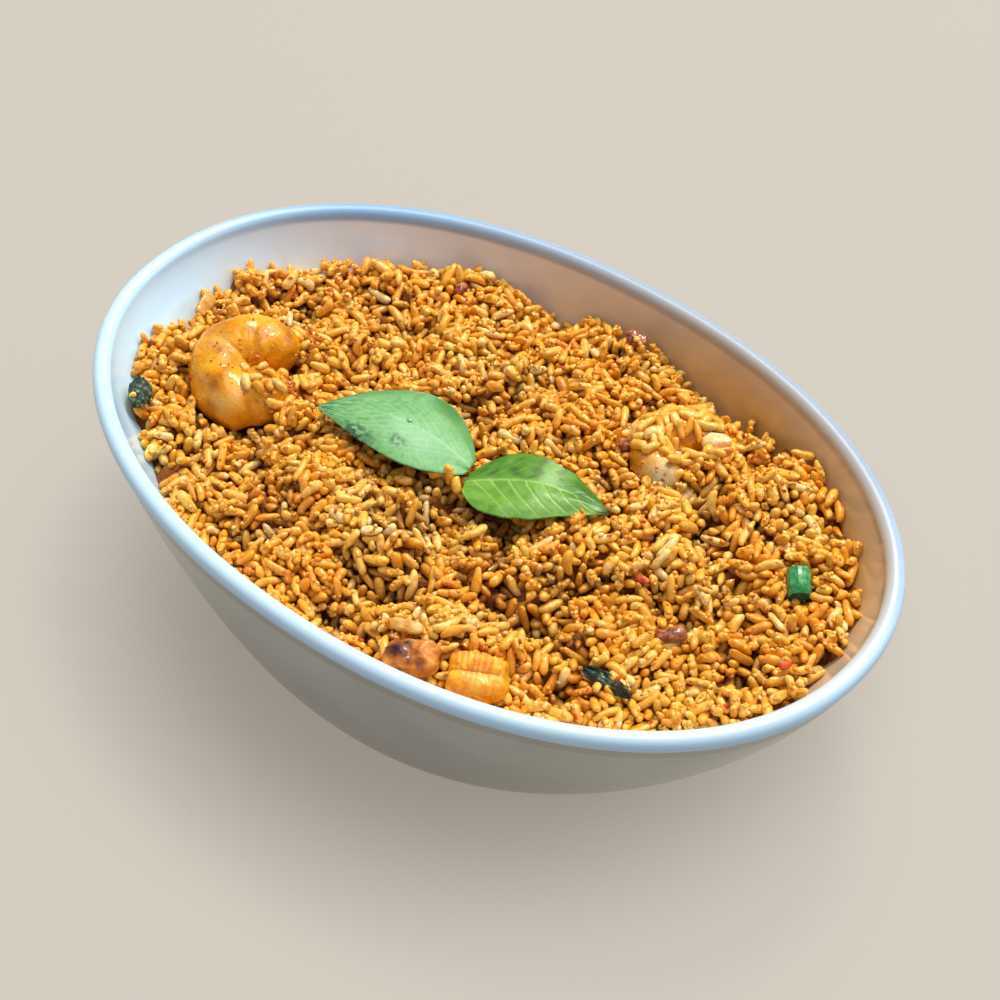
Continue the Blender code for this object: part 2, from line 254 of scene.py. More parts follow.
def bowl_rings():
    """(length, width, height) of every oval, from the foot out, up, over the lip and down inside."""
    hollow_length, hollow_width = BASE_LENGTH - 2 * FOOT_WIDTH, BASE_WIDTH - 2 * FOOT_WIDTH
    rings = [(hollow_length * 0.5, hollow_width * 0.5, FOOT_DEPTH),
             (hollow_length - 1.6, hollow_width - 1.6, FOOT_DEPTH),
             (hollow_length - 0.6, hollow_width - 0.6, FOOT_DEPTH * 0.6),
             (hollow_length, hollow_width, 0.0)]
    wall_top = BOWL_HEIGHT - LIP_DROP
    for rise in [0.0] + [1 - e for e in reversed([0.0] + eased(16)[:-1])]:
        depth = 1 - rise
        rings.append((flare(depth, BOWL_LENGTH - 2 * LIP_OVERHANG, BASE_LENGTH),
                      flare(depth, BOWL_WIDTH - 2 * LIP_OVERHANG, BASE_WIDTH), wall_top * rise))
    rings.append((BOWL_LENGTH - 0.9, BOWL_WIDTH - 0.9, wall_top + 0.02))
    rings.append((BOWL_LENGTH - 0.3, BOWL_WIDTH - 0.3, wall_top + 0.3))
    bead = LIP_WIDTH / 2
    lip_steps = 12
    for k in range(lip_steps + 1):
        turn = math.pi * k / lip_steps
        inset = bead * (1 - math.cos(turn))
        rings.append((BOWL_LENGTH - 2 * inset, BOWL_WIDTH - 2 * inset,
                      BOWL_HEIGHT - bead * (1 - math.sin(turn))))
    start = BOWL_HEIGHT - bead
    for fall in eased(20):
        height = start - (start - FLOOR_THICKNESS) * fall
        rings.append((*inner_size(height), height))
    rings.append((FLOOR_LENGTH * 0.5, FLOOR_WIDTH * 0.5, FLOOR_THICKNESS))
    return rings


# %% [markdown]
# The first oval is a circle pushed out to the superellipse. Each corner also keeps whether it lies
# outside or inside the lip, because the two sides of the bowl are coloured differently.

# %% Extrude the ovals
bm = bmesh.new()
rings = bowl_rings()
for corner in bmesh.ops.create_circle(bm, cap_ends=True, radius=1.0, segments=BOWL_SIDES)["verts"]:
    turn = math.atan2(corner.co.y, corner.co.x)
    c, s = math.cos(turn), math.sin(turn)
    reach = (abs(c) ** OVAL_POWER + abs(s) ** OVAL_POWER) ** (-1 / OVAL_POWER)
    corner.co = (reach * c * rings[0][0] / 2, reach * s * rings[0][1] / 2, rings[0][2])
edges = bm.edges[:]
for (l0, w0, z0), (l1, w1, z1) in zip(rings, rings[1:]):
    made = bmesh.ops.extrude_edge_only(bm, edges=edges)["geom"]
    corners = [g for g in made if isinstance(g, bmesh.types.BMVert)]
    edges = [g for g in made if isinstance(g, bmesh.types.BMEdge)]
    bmesh.ops.scale(bm, vec=(l1 / l0, w1 / w0, 1.0), verts=corners)
    bmesh.ops.translate(bm, vec=(0, 0, z1 - z0), verts=corners)
bmesh.ops.contextual_create(bm, geom=edges)
bmesh.ops.recalc_face_normals(bm, faces=bm.faces[:])
side_layer = bm.verts.layers.float.new("inside")
lip_top = next(k for k, ring in enumerate(rings) if ring[2] >= BOWL_HEIGHT - 0.01)
bm.verts.index_update()
for corner in bm.verts:
    past_lip = corner.index // BOWL_SIDES - lip_top
    corner[side_layer] = min(1.0, max(0.0, 0.5 + past_lip / 8))
bowl_mesh = bm
print(f"bowl of {len(rings)} ovals with {BOWL_SIDES} corners each")


# %% [markdown]
# ## White melamine
# Pressed melamine resin is smooth, hard and a little glossy, with an IOR of about 1.6. Close up
# it isn't perfect: faint flow marks, tiny dark specks, and here a few yellow smears of oil where
# the rice has touched the inner wall. The gloss is what draws the thin bright lines along the
# lip.

# %% Melamine material
melamine, tree = material("white_melamine_moulded")
place = node(tree, "TexCoord").outputs["Object"]
cloud = node(tree, "TexNoise", {"Vector": place, "Scale": 1 / (30 * MM), "Detail": 3.0})
inside = node(tree, "Attribute", attribute_name="inside").outputs["Fac"]
height = node(tree, "SeparateXYZ", {"Vector": place}).outputs["Z"]
# painted shade: the white outer wall is painted a warm grey, the shade it falls in, and darker still
# towards the foot
above_painted_foot_shade = node(tree, "MapRange", {"Value": height, "From Min": 6 * MM, "From Max": 40 * MM}).outputs[0]
wall = node(tree, "Mix", {0: above_painted_foot_shade, 6: linear("#6A6254"), 7: linear("#8F8E81")},
            data_type="RGBA").outputs[2]
base = node(tree, "Mix", {0: inside, 6: wall, 7: linear("#EAF2F8")}, data_type="RGBA").outputs[2]
cloudy = node(tree, "Math", {0: cloud.outputs[0], 1: 0.3}, operation="MULTIPLY").outputs[0]
base = node(tree, "Mix", {0: cloudy, 6: base, 7: linear("#F4F3EF")}, data_type="RGBA").outputs[2]
# painted reflection and shade: the lip is painted sky blue for the sky it reflects, and a deeper, darker
# blue on the side nearest the window, where the light falls
lip = node(tree, "MapRange", {"Value": height, "From Min": 49.3 * MM, "From Max": 50.3 * MM}).outputs[0]
far_side = node(tree, "VectorMath", {0: place, 1: (away * 0.35 + right * 0.94)[:]},
                operation="DOT_PRODUCT").outputs["Value"]
window_side = node(tree, "VectorMath", {0: place, 1: (away * 0.80 + right * 0.60)[:]},
                   operation="DOT_PRODUCT").outputs["Value"]
window_side_painted_blue = node(tree, "MapRange", {"Value": window_side, "From Min": -10 * MM,
                                "From Max": 50 * MM}).outputs[0]
lip_painted_sky = node(tree, "Mix", {0: window_side_painted_blue, 6: linear("#CFEAFA"), 7: linear("#8FB6DA")},
                  data_type="RGBA").outputs[2]
base = node(tree, "Mix", {0: lip, 6: base, 7: lip_painted_sky}, data_type="RGBA").outputs[2]
# painted reflection: the lip's lower edge, which faces down and outward, is painted a deeper sky blue
outside = node(tree, "Math", {0: 1.0, 1: inside}, operation="SUBTRACT").outputs[0]
under_lip_painted_blue = node(tree, "MapRange", {"Value": height, "From Min": 52.0 * MM, "From Max": 50.2 * MM})
under_lip_painted_blue = node(tree, "Math", {0: under_lip_painted_blue.outputs[0], 1: lip}, operation="MULTIPLY").outputs[0]
under_lip_painted_blue = node(tree, "Math", {0: under_lip_painted_blue, 1: outside}, operation="MULTIPLY").outputs[0]
base = node(tree, "Mix", {0: under_lip_painted_blue, 6: base, 7: linear("#A3CAE6")}, data_type="RGBA").outputs[2]
# painted light: the inner wall on the left, which faces the side lamp and the sky, is painted a pale sky
# blue
leftward = node(tree, "VectorMath", {0: place, 1: (-right)[:]}, operation="DOT_PRODUCT").outputs["Value"]
left_wall_painted_sky = node(tree, "MapRange", {"Value": leftward, "From Min": 45 * MM, "From Max": 95 * MM}).outputs[0]
left_wall_painted_sky = node(tree, "Math", {0: left_wall_painted_sky, 1: inside}, operation="MULTIPLY").outputs[0]
base = node(tree, "Mix", {0: left_wall_painted_sky, 6: base, 7: linear("#C4ECFF")}, data_type="RGBA").outputs[2]
# painted bounce light and oil: an orange tint on the far side of the inner wall, thickest near the rice,
# mostly painted bounce light from the rice and partly a thin film of oil
oil_and_painted_bounce = node(tree, "MapRange", {"Value": far_side, "From Min": 8 * MM, "From Max": 72 * MM}).outputs[0]
thick = node(tree, "MapRange", {"Value": height, "From Min": 40 * MM, "From Max": 51 * MM,
                                "To Min": 0.90, "To Max": 0.62}).outputs[0]
oil_and_painted_bounce = node(tree, "Math", {0: oil_and_painted_bounce, 1: thick}, operation="MULTIPLY").outputs[0]
oil_and_painted_bounce = node(tree, "Math", {0: oil_and_painted_bounce, 1: inside}, operation="MULTIPLY").outputs[0]
base = node(tree, "Mix", {0: oil_and_painted_bounce, 6: base, 7: linear("#CC9A24")}, data_type="RGBA").outputs[2]
# oil smears, about 9 mm across, only on the inner wall near the rice
near_rice = node(tree, "MapRange", {"Value": height, "From Min": 40 * MM, "From Max": 49 * MM,
                                    "To Min": 1.0, "To Max": 0.0}).outputs[0]
smear = node(tree, "TexNoise", {"Vector": place, "Scale": 1 / (9 * MM), "Detail": 4.0})
smear = node(tree, "ValToRGB", {"Fac": smear.outputs[0]},
             stops=[(0.60, (0, 0, 0, 1)), (0.74, (1, 1, 1, 1))]).outputs[0]
smear = node(tree, "Math", {0: smear, 1: near_rice}, operation="MULTIPLY").outputs[0]
smear = node(tree, "Math", {0: smear, 1: inside}, operation="MULTIPLY").outputs[0]
smear = node(tree, "Math", {0: smear, 1: 0.5}, operation="MULTIPLY").outputs[0]
base = node(tree, "Mix", {0: smear, 6: base, 7: linear("#E8CF8E")}, data_type="RGBA").outputs[2]
# specks of food and wear, 1 mm across, in one of every five cells of 11 mm
cell = node(tree, "TexVoronoi", {"Vector": place, "Scale": 1 / (11 * MM), "Randomness": 1.0})
speck = node(tree, "Math", {0: cell.outputs["Distance"], 1: 0.045}, operation="LESS_THAN").outputs[0]
few = node(tree, "SeparateColor", {"Color": cell.outputs["Color"]}).outputs[0]
few = node(tree, "Math", {0: few, 1: 0.80}, operation="GREATER_THAN").outputs[0]
speck = node(tree, "Math", {0: speck, 1: few}, operation="MULTIPLY").outputs[0]
base = node(tree, "Mix", {0: speck, 6: base, 7: linear("#8A7550")}, data_type="RGBA").outputs[2]
flow = node(tree, "TexNoise", {"Vector": place, "Scale": 1 / (14 * MM), "Detail": 2.0})
flow_bump = node(tree, "Bump", {"Height": flow.outputs[0], "Strength": 0.15, "Distance": 0.25 * MM})
rough = node(tree, "MapRange", {"Value": flow.outputs[0], "To Min": 0.16, "To Max": 0.30}).outputs[0]
surface(tree, Base_Color=base, Roughness=rough, IOR=1.6, Normal=flow_bump.outputs[0],
        Coat_Weight=0.3, Coat_Roughness=0.08)
add_piece(bowl_mesh, "bowl_shell", melamine, ["bowl"])


# %% [markdown]
# ## How high the rice lies
# Everything in the heap follows the top of the CAD solid. It is read once, by dropping a ray on
# every millimetre of the plan, and kept as a grid of heights. On it goes the finer relief of
# fried rice: clumps about 13 mm across that a spoon has broken apart, the cracks between them and
# the holes that it left where it pulled a clump away.

# %% Read the heap's top
ABOVE_ALL = 90.0              # a height over everything, from which rays fall


def tree_of(thing):
    """A ray tree of a CAD node or of a finished piece, in millimetres."""
    corners = [v.co / MM for v in thing.data.vertices]
    return BVHTree.FromPolygons(corners, [p.vertices[:] for p in thing.data.polygons])


def dropped(tree, x, y):
    """Where a ray dropped at a point of the plan meets a tree, and the face's direction there."""
    return tree.ray_cast(Vector((x, y, ABOVE_ALL)), Vector((0, 0, -1)))[:2]


GRID_STEP = 1.0
HALF_X, HALF_Y = 112, 74
heap_tree = tree_of(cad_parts["rice"])
columns = np.arange(-HALF_X, HALF_X + 1) * GRID_STEP
lines = np.arange(-HALF_Y, HALF_Y + 1) * GRID_STEP
NO_RICE = -50.0
solid_top = np.full((len(columns), len(lines)), NO_RICE)
for i, x in enumerate(columns):
    for j, y in enumerate(lines):
        hit = dropped(heap_tree, x, y)[0]
        if hit:
            solid_top[i, j] = hit.z
print(f"rice under {int((solid_top > NO_RICE).sum())} mm2 of the plan,",
      f"top from {solid_top[solid_top > NO_RICE].min():.1f} to {solid_top.max():.1f} mm")


# %% [markdown]
# A clump is a cell of a Voronoi pattern that noise has warped, so no two are alike. The holes are
# named one by one, because they are the places that the eye finds first: under the leaves' near
# edges, beside the prawns and along the front. The noise gets a seed of its own, or the clumps
# would differ from run to run.

# %% Clumps, cracks and holes
noise.seed_set(7)
CLUMP_SIZE = 13.0
CRACK_DEPTH = 5.2
CRACK_WIDTH = 0.36            # as a share of a clump
SWELL, SWELL_SIZE = 3.8, 11.0
RUFFLE, RUFFLE_SIZE = 2.4, 5.0
LIFT = 1.3                    # so that the clumps' tops, not their middles, meet the solid's top
HOLE_DEPTH = 1.20             # all of them deeper by as much
HOLES = [                     # x, y, reach along and across, heading in degrees, depth
    (38.7, -25.9, 8.5, 4.2, 40, 7.0), (42.2, -3.6, 5.5, 4.0, 80, 5.5),
    (68.1, 10.3, 5.0, 3.8, 60, 7.0), (-0.5, -53.1, 4.5, 3.0, 20, 5.5),
    (-40.3, -18.2, 6.5, 3.6, -30, 5.0), (-71.2, 13.3, 6.0, 2.8, 130, 5.5),
    (-17.9, 16.1, 4.0, 3.0, 100, 4.0), (26.5, 18.6, 4.5, 3.5, 20, 4.0),
    (45.5, 31.5, 4.5, 3.2, 60, 6.0), (67.6, 27.8, 4.0, 3.0, 90, 4.0),
    (14.0, -9.0, 9.0, 3.6, 22, 4.5), (-17.9, -57.8, 4.0, 2.6, 20, 3.5),
    (8.4, -40.5, 9.0, 3.4, 30, 4.5), (56.0, -5.0, 7.0, 3.4, 45, 4.5), (56.6, -38.6, 5.0, 3.0, 40, 4.5),
    (-53.8, -25.7, 5.0, 3.0, 10, 4.0), (-6.2, -41.8, 5.0, 3.0, -20, 3.5),
    (-50.0, 26.0, 5.0, 3.0, 60, 3.5)]


def relief(x, y):
    """Height of the clumps over the smooth heap at a point, in millimetres."""
    spot = Vector((x, y, 0.0))
    warp = noise.noise_vector(spot / 9.0) * 4.0
    near, second = noise.voronoi((spot + warp) / CLUMP_SIZE)[0][:2]
    gap = min(1.0, (second - near) / CRACK_WIDTH)
    open_here = 0.55 + noise.noise(spot / 24.0 + Vector((5.2, 1.3, 0.0)))
    crack = (1 - gap * gap * (3 - 2 * gap)) * max(0.0, min(1.0, open_here))
    height = SWELL * noise.noise(spot / SWELL_SIZE) + RUFFLE * noise.noise(spot / RUFFLE_SIZE)
    return height - CRACK_DEPTH * crack + LIFT


def hole(x, y):
    """Depth of the named holes at a point."""
    depth = 0.0
    for hole_x, hole_y, along, across, heading, deep in HOLES:
        c, s = math.cos(math.radians(heading)), math.sin(math.radians(heading))
        a, b = (x - hole_x) * c + (y - hole_y) * s, (y - hole_y) * c - (x - hole_x) * s
        depth = max(depth, HOLE_DEPTH * deep * math.exp(-(a / along) ** 2 - (b / across) ** 2))
    return depth


clump = np.array([[relief(x, y) - hole(x, y) for y in lines] for x in columns])
print(f"relief of the clumps from {clump.min():.1f} to {clump.max():.1f} mm")


# %% [markdown]
# Toppings press the rice down where they lie, so the clumps don't rise under them or close to
# them. Near the wall the clumps stay up, because nothing has stirred the rice there.

# %% Heights that the grains keep to
def spread(mask, times):
    """Widens a mask of the plan by so many millimetres."""
    for _ in range(times):
        mask = mask | np.roll(mask, 1, 0) | np.roll(mask, -1, 0)
        mask = mask | np.roll(mask, 1, 1) | np.roll(mask, -1, 1)
    return mask


TOPPINGS = ["prawn_left", "prawn_right", "squid_piece", "browned_piece", "basil_leaf_left",
            "basil_leaf_right", "spring_onion", "onion_slice"]
topping_trees = {name: tree_of(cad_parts[name]) for name in TOPPINGS}
covered = np.zeros(solid_top.shape, bool)
for name in TOPPINGS:
    low, high = np.array(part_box(name)) / MM
    for i in np.flatnonzero((columns > low[0]) & (columns < high[0])):
        for j in np.flatnonzero((lines > low[1]) & (lines < high[1])):
            covered[i, j] |= dropped(topping_trees[name], columns[i], lines[j])[0] is not None
clump = np.where(spread(covered, 2), np.minimum(clump, 0.0) - 1.0, clump)
rice_here = solid_top > NO_RICE
inland = ~spread(~rice_here, 7)
clump = np.where(inland | ~rice_here, clump, np.maximum(clump, -0.5))
grain_top = np.where(rice_here, solid_top + clump, NO_RICE)


def read_grid(grid, x, y):
    """Values of a height grid at many points, between its four nearest columns."""
    i = np.clip((x + HALF_X) / GRID_STEP, 0, grid.shape[0] - 1.001)
    j = np.clip((y + HALF_Y) / GRID_STEP, 0, grid.shape[1] - 1.001)
    i0, j0 = i.astype(int), j.astype(int)
    fi, fj = i - i0, j - j0
    low = grid[i0, j0] * (1 - fi) + grid[i0 + 1, j0] * fi
    high = grid[i0, j0 + 1] * (1 - fi) + grid[i0 + 1, j0 + 1] * fi
    return low * (1 - fj) + high * fj


def around(grid):
    """The four neighbours of every column, one above the other."""
    return np.stack([np.roll(grid, shift, axis) for axis in (0, 1) for shift in (1, -1)])


# outside the rice the grid repeats the nearest height, so that a grain at the edge has a level
for _ in range(8):
    grain_top = np.where(grain_top <= NO_RICE + 1, around(grain_top).max(axis=0), grain_top)

# the canopy is a sheet laid over the clumps: what lies far below it gets painted shade, and sauce
canopy = grain_top.copy()
for _ in range(4):
    canopy = np.maximum(canopy, around(canopy).max(axis=0))
for _ in range(10):
    canopy = (2 * canopy + around(canopy).sum(axis=0)) / 6
print(f"grains reach from {grain_top[rice_here].min():.1f} to {grain_top.max():.1f} mm")


# %% [markdown]
# ## The core of the heap
# Only the outer three or four grains are ever seen. Under them lies a core: the CAD solid's own
# shape, sunk a few millimetres, with the relief of packed grains. It closes the gaps between the
# loose grains with a dark orange that is partly sauce and partly painted shade.

# %% Core
CORE_SINK = 5.2
bm = bmesh.new()
bm.from_mesh(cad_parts["rice"].data)
bmesh.ops.scale(bm, vec=(1 / MM, 1 / MM, 1 / MM), verts=bm.verts[:])
bmesh.ops.remove_doubles(bm, verts=bm.verts[:], dist=0.01)
top_edges = list(dict.fromkeys(e for f in bm.faces if f.normal.z > 0.25 for e in f.edges))
bmesh.ops.subdivide_edges(bm, edges=top_edges, cuts=3, use_grid_fill=True)
bmesh.ops.triangulate(bm, faces=bm.faces[:])
bm.normal_update()
for corner in bm.verts:
    bumps = noise.noise(corner.co / 2.4) * 0.9 + noise.noise(corner.co / 1.1) * 0.4
    level = read_grid(grain_top, np.array([corner.co.x]), np.array([corner.co.y]))[0] - CORE_SINK
    corner.co.z = min(corner.co.z, level + bumps)
    corner.co.x *= 0.994
    corner.co.y *= 0.994
core_mesh = bm
print(f"core of {len(bm.faces)} faces")


# %% [markdown]
# ## Grains of jasmine rice
# These jasmine grains are 5 to 8 mm long and a little over 2 mm thick, blunt at both ends and
# seldom straight. Thousands are needed, so each has only a few dozen faces: a small sphere,
# squared off along its length. Four kinds are made from it: whole, bent, split and broken.
# Length, width, taper and bend then differ from grain to grain.

# %% Grain shapes
GRAIN_SIDES, GRAIN_RINGS = 8, 6


def whole_grain():
    """A blunt-ended unit grain along Z, from -1 to 1, with a map of its skin."""
    made = bmesh.new()
    made.loops.layers.uv.new("OFBake")
    bmesh.ops.create_uvsphere(made, u_segments=GRAIN_SIDES, v_segments=GRAIN_RINGS, radius=1.0,
                              calc_uvs=True)
    for corner in made.verts:
        z = max(-1.0, min(1.0, corner.co.z))
        slim = math.hypot(corner.co.x, corner.co.y)
        along = math.copysign(abs(z) ** 0.76, z)
        if slim > 0.01:
            wide = (1 - abs(along) ** 3.8) ** 0.5
            corner.co.x *= wide / slim
            corner.co.y *= wide / slim
        corner.co.z = along
    return made


def split_grain():
    """One that burst along one side as it cooked."""
    made = whole_grain()
    for corner in made.verts:
        if corner.co.x > 0.3 and abs(corner.co.y) < 0.5:
            corner.co.x *= 0.55
        corner.co.y *= 1.18
    return made


def broken_grain():
    """One that snapped: a plane cuts it off and the end is closed."""
    made = whole_grain()
    cut = bmesh.ops.bisect_plane(made, geom=made.verts[:] + made.edges[:] + made.faces[:],
                                 plane_co=(0, 0, 0.35), plane_no=(0.35, 0.1, 1.0),
                                 clear_outer=True)["geom_cut"]
    bmesh.ops.contextual_create(made, geom=[g for g in cut if isinstance(g, bmesh.types.BMEdge)])
    return made


def joined_copies(name, made, points, values):
    """One mesh of many copies of a shape: points is (copies, corners, 3) in millimetres.

    Every copy gets a cell of the map OFBake to itself, and the values are kept for each copy."""
    copies, corners = points.shape[:2]
    made.verts.index_update()
    corner_of = np.array([l.vert.index for f in made.faces for l in f.loops])
    starts = np.array([0] + [len(f.loops) for f in made.faces])
    loops, faces = len(corner_of), len(starts) - 1
    starts = np.cumsum(starts)[:-1]
    layer = made.loops.layers.uv.active
    spots = np.array([l[layer].uv[:] if layer else (0.5, 0.5) for f in made.faces for l in f.loops])
    made.free()
    mesh = bpy.data.meshes.new(name)
    mesh.vertices.add(copies * corners)
    mesh.vertices.foreach_set("co", (points * MM).ravel())
    mesh.loops.add(copies * loops)
    number = np.arange(copies)[:, None]
    mesh.loops.foreach_set("vertex_index", (corner_of[None] + corners * number).ravel())
    mesh.polygons.add(copies * faces)
    mesh.polygons.foreach_set("loop_start", (starts[None] + loops * number).ravel())
    mesh.update(calc_edges=True)
    side = math.ceil(math.sqrt(copies))
    corner = np.stack([number % side, number // side], axis=2)
    cells = (corner + 0.08 + 0.84 * np.clip(spots, 0, 1)[None]) / side
    mesh.uv_layers.new(name="OFBake").data.foreach_set("uv", cells.ravel())
    for key, value in values.items():
        layer = mesh.attributes.new(key, "FLOAT", "POINT")
        per_corner = value.ravel() if value.ndim > 1 else np.repeat(value, corners)
        layer.data.foreach_set("value", per_corner)
    return mesh


# %% [markdown]
# ## Packing the grains
# Rice heaps itself: grains fall where there is room and lean on each other. A full simulation
# of thousands of grains takes too long, so they are dropped at random into the outer layer of
# the heap and then pushed apart. Each grain is four beads in a row. Wherever beads of two grains
# overlap, both grains give way and turn, and the top of the heap and the wall of the bowl hold
# them in. After some dozens of rounds they lie side by side as real ones do.

# %% Scatter the grains
random = np.random.default_rng(7)
LAYER_DEPTH = 8.5
GRAIN_COUNT = 7000
GRAIN_RADIUS = 1.0
BEADS = np.array([-1.0, -1 / 3, 1 / 3, 1.0])


def inside_share(x, y, z, clear):
    """How far out a point lies: 1 is at the bowl's inner wall, less a clearance."""
    length, width = inner_lengths[0], inner_lengths[1]
    a = np.interp(z, level_heights, length) / 2 - clear
    b = np.interp(z, level_heights, width) / 2 - clear
    return (np.abs(x / a) ** OVAL_POWER + np.abs(y / b) ** OVAL_POWER) ** (1 / OVAL_POWER)


level_heights = np.linspace(FLOOR_THICKNESS, BOWL_HEIGHT, 60)
inner_lengths = np.array([inner_size(h) for h in level_heights]).T

spots = random.uniform((-HALF_X, -HALF_Y), (HALF_X, HALF_Y), (GRAIN_COUNT * 3, 2))
tops = read_grid(grain_top, spots[:, 0], spots[:, 1])
spots, tops = spots[tops > 0], tops[tops > 0]
depth = random.uniform(0.0, LAYER_DEPTH, len(spots))
centre = np.column_stack([spots, tops - 0.6 - depth])
share = inside_share(centre[:, 0], centre[:, 1], centre[:, 2], 1.5)
centre = centre[share < 1.0][:GRAIN_COUNT]
count = len(centre)

# grains in one clump lie much the same way; each strays from its clump's direction
heading = np.array([3.4 * math.pi * noise.noise(Vector(c) / 14.0 + Vector((3.1, 8.4, 2.2)))
                    for c in centre]) + random.normal(0, 0.7, count)
slope = random.normal(0, 0.6, count)
slope = np.where(random.random(count) < 0.30, random.uniform(-1.5, 1.5, count), slope)
axis = np.column_stack([np.cos(heading) * np.cos(slope), np.sin(heading) * np.cos(slope),
                        np.sin(slope)])
length = np.clip(random.normal(6.4, 0.9, count), 4.4, 8.4)
KINDS = ["whole", "bent", "split", "broken"]
kind = random.choice(len(KINDS), count, p=[0.30, 0.27, 0.18, 0.25])
length = np.where(kind == KINDS.index("broken"), length * 0.60, length)
reach = length / 2 - GRAIN_RADIUS
stick_out = np.where(random.random(count) < 0.45, random.uniform(0.0, 2.6, count), 0.0)
print(f"{count} grains to pack")


# %% [markdown]
# Comparing every bead with every other would take far too long. Beads are sorted into cells as wide
# as a grain instead, and a bead is compared only with those of its own cell and the cells beside it.

# %% Push them apart
ROUNDS = 60
SHIFT_SHARE, TURN_SHARE = 1.1, 0.8              # of each push, taken in one round


def close_pairs(points, size):
    """Index pairs of the points that share a cell of this size, or lie in cells side by side."""
    cell = np.floor(points / size).astype(np.int64)
    cell -= cell.min(axis=0) - 1
    span = cell.max(axis=0) + 2
    key = (cell[:, 0] * span[1] + cell[:, 1]) * span[2] + cell[:, 2]
    order = np.argsort(key, kind="stable")
    ranked = key[order]
    found = []
    steps = [(a, b, c) for a in (-1, 0, 1) for b in (-1, 0, 1) for c in (-1, 0, 1)]
    for a, b, c in steps[len(steps) // 2:]:
        wanted = key + (a * span[1] + b) * span[2] + c
        first = np.searchsorted(ranked, wanted, "left")
        number = np.searchsorted(ranked, wanted, "right") - first
        mine = np.repeat(np.arange(len(key)), number)
        offset = np.arange(number.sum()) - np.repeat(np.cumsum(number) - number, number)
        theirs = order[np.repeat(first, number) + offset]
        keep = mine < theirs if (a, b, c) == (0, 0, 0) else slice(None)
        found.append(np.column_stack([mine[keep], theirs[keep]]))
    return np.concatenate(found)


def pushed_apart(centre, axis, reach, stick_out):
    owner = np.repeat(np.arange(len(centre)), len(BEADS))
    arm = (reach[:, None] * BEADS).ravel()
    lever = np.bincount(owner, arm ** 2) + 1.0
    for _ in range(ROUNDS):
        beads = centre[owner] + axis[owner] * arm[:, None]
        pairs = close_pairs(beads, 2 * GRAIN_RADIUS)
        pairs = pairs[owner[pairs[:, 0]] != owner[pairs[:, 1]]]
        apart = beads[pairs[:, 0]] - beads[pairs[:, 1]]
        far = np.linalg.norm(apart, axis=1)
        near = far < 2 * GRAIN_RADIUS
        pairs, apart, far = pairs[near], apart[near], np.maximum(far[near], 0.05)
        give = apart / far[:, None] * ((2 * GRAIN_RADIUS - far) * 0.5)[:, None]
        push = np.zeros_like(beads)
        for side in range(3):
            push[:, side] += np.bincount(pairs[:, 0], give[:, side], len(beads))
            push[:, side] -= np.bincount(pairs[:, 1], give[:, side], len(beads))
        over = beads[:, 2] + GRAIN_RADIUS - read_grid(grain_top, beads[:, 0], beads[:, 1])
        over -= stick_out[owner]
        push[:, 2] -= np.maximum(over, 0.0)
        under = read_grid(grain_top, beads[:, 0], beads[:, 1]) - LAYER_DEPTH - 1.0 - beads[:, 2]
        push[:, 2] += np.maximum(under, 0.0)
        out = inside_share(beads[:, 0], beads[:, 1], beads[:, 2], GRAIN_RADIUS)
        back = np.where(out > 1.0, 1 / np.maximum(out, 1.0) - 1, 0.0)
        push[:, :2] += beads[:, :2] * back[:, None]
        shift = np.column_stack([np.bincount(owner, push[:, s]) for s in range(3)]) / len(BEADS)
        turn = np.column_stack([np.bincount(owner, push[:, s] * arm) for s in range(3)])
        centre = centre + SHIFT_SHARE * shift
        axis = axis + TURN_SHARE * turn / lever[:, None]
        axis /= np.linalg.norm(axis, axis=1, keepdims=True)
    left = np.maximum(2 * GRAIN_RADIUS - far, 0.0)
    print(f"after {ROUNDS} rounds {len(pairs)} touches overlap by {left.mean():.2f} mm on average")
    return centre, axis


centre, axis = pushed_apart(centre, axis, reach, stick_out)


# %% [markdown]
# Every packed grain becomes a copy of its kind's shape, stretched to its own length and turned to
# its own axis. Small lumps and dents keep any two of them from looking alike.

# %% Turn the packed grains into meshes
def unit(rows):
    return rows / np.linalg.norm(rows, axis=1, keepdims=True)


HALF_WIDTH, WIDTH_SPREAD = 1.14, 0.09
FLATTEST, ROUNDEST = 0.82, 0.98                # thickness as a share of the width
MOST_TAPER = 0.22
LUMPS, DENTS = 0.05, 0.055                     # of whole rings, and of single corners


def grain_points(made, which, centre, axis, length, bend):
    """Corners of one kind's grains: each has its own width, taper, bend, lumps and roll."""
    shape = np.array([v.co[:] for v in made.verts])
    number = len(which)
    wide = random.normal(HALF_WIDTH, WIDTH_SPREAD, number)
    thick = wide * random.uniform(FLATTEST, ROUNDEST, number)
    taper = random.uniform(-MOST_TAPER, MOST_TAPER, number)
    roll = random.uniform(0, 2 * math.pi, number)
    lumps = 1 + LUMPS * random.standard_normal((number, 9))
    ring = np.round((shape[:, 2] + 1) * 4).astype(int)
    dents = 1 + DENTS * random.standard_normal((number, len(shape)))
    slim = (1 + taper[:, None] * shape[:, 2]) * lumps[:, ring] * dents
    across = shape[:, 0] * slim * wide[:, None]
    over = shape[:, 1] * slim * thick[:, None]
    along = shape[:, 2] * length[which][:, None] / 2
    across = across + bend[:, None] * (shape[:, 2] ** 2 - 0.4)
    ahead = axis[which]
    side = unit(np.cross(ahead, random.standard_normal((number, 3))))
    up = np.cross(ahead, side)
    turned = side * np.cos(roll)[:, None] + up * np.sin(roll)[:, None]
    other = np.cross(ahead, turned)
    return (centre[which][:, None] + turned[:, None] * across[..., None]
            + other[:, None] * over[..., None] + ahead[:, None] * along[..., None])
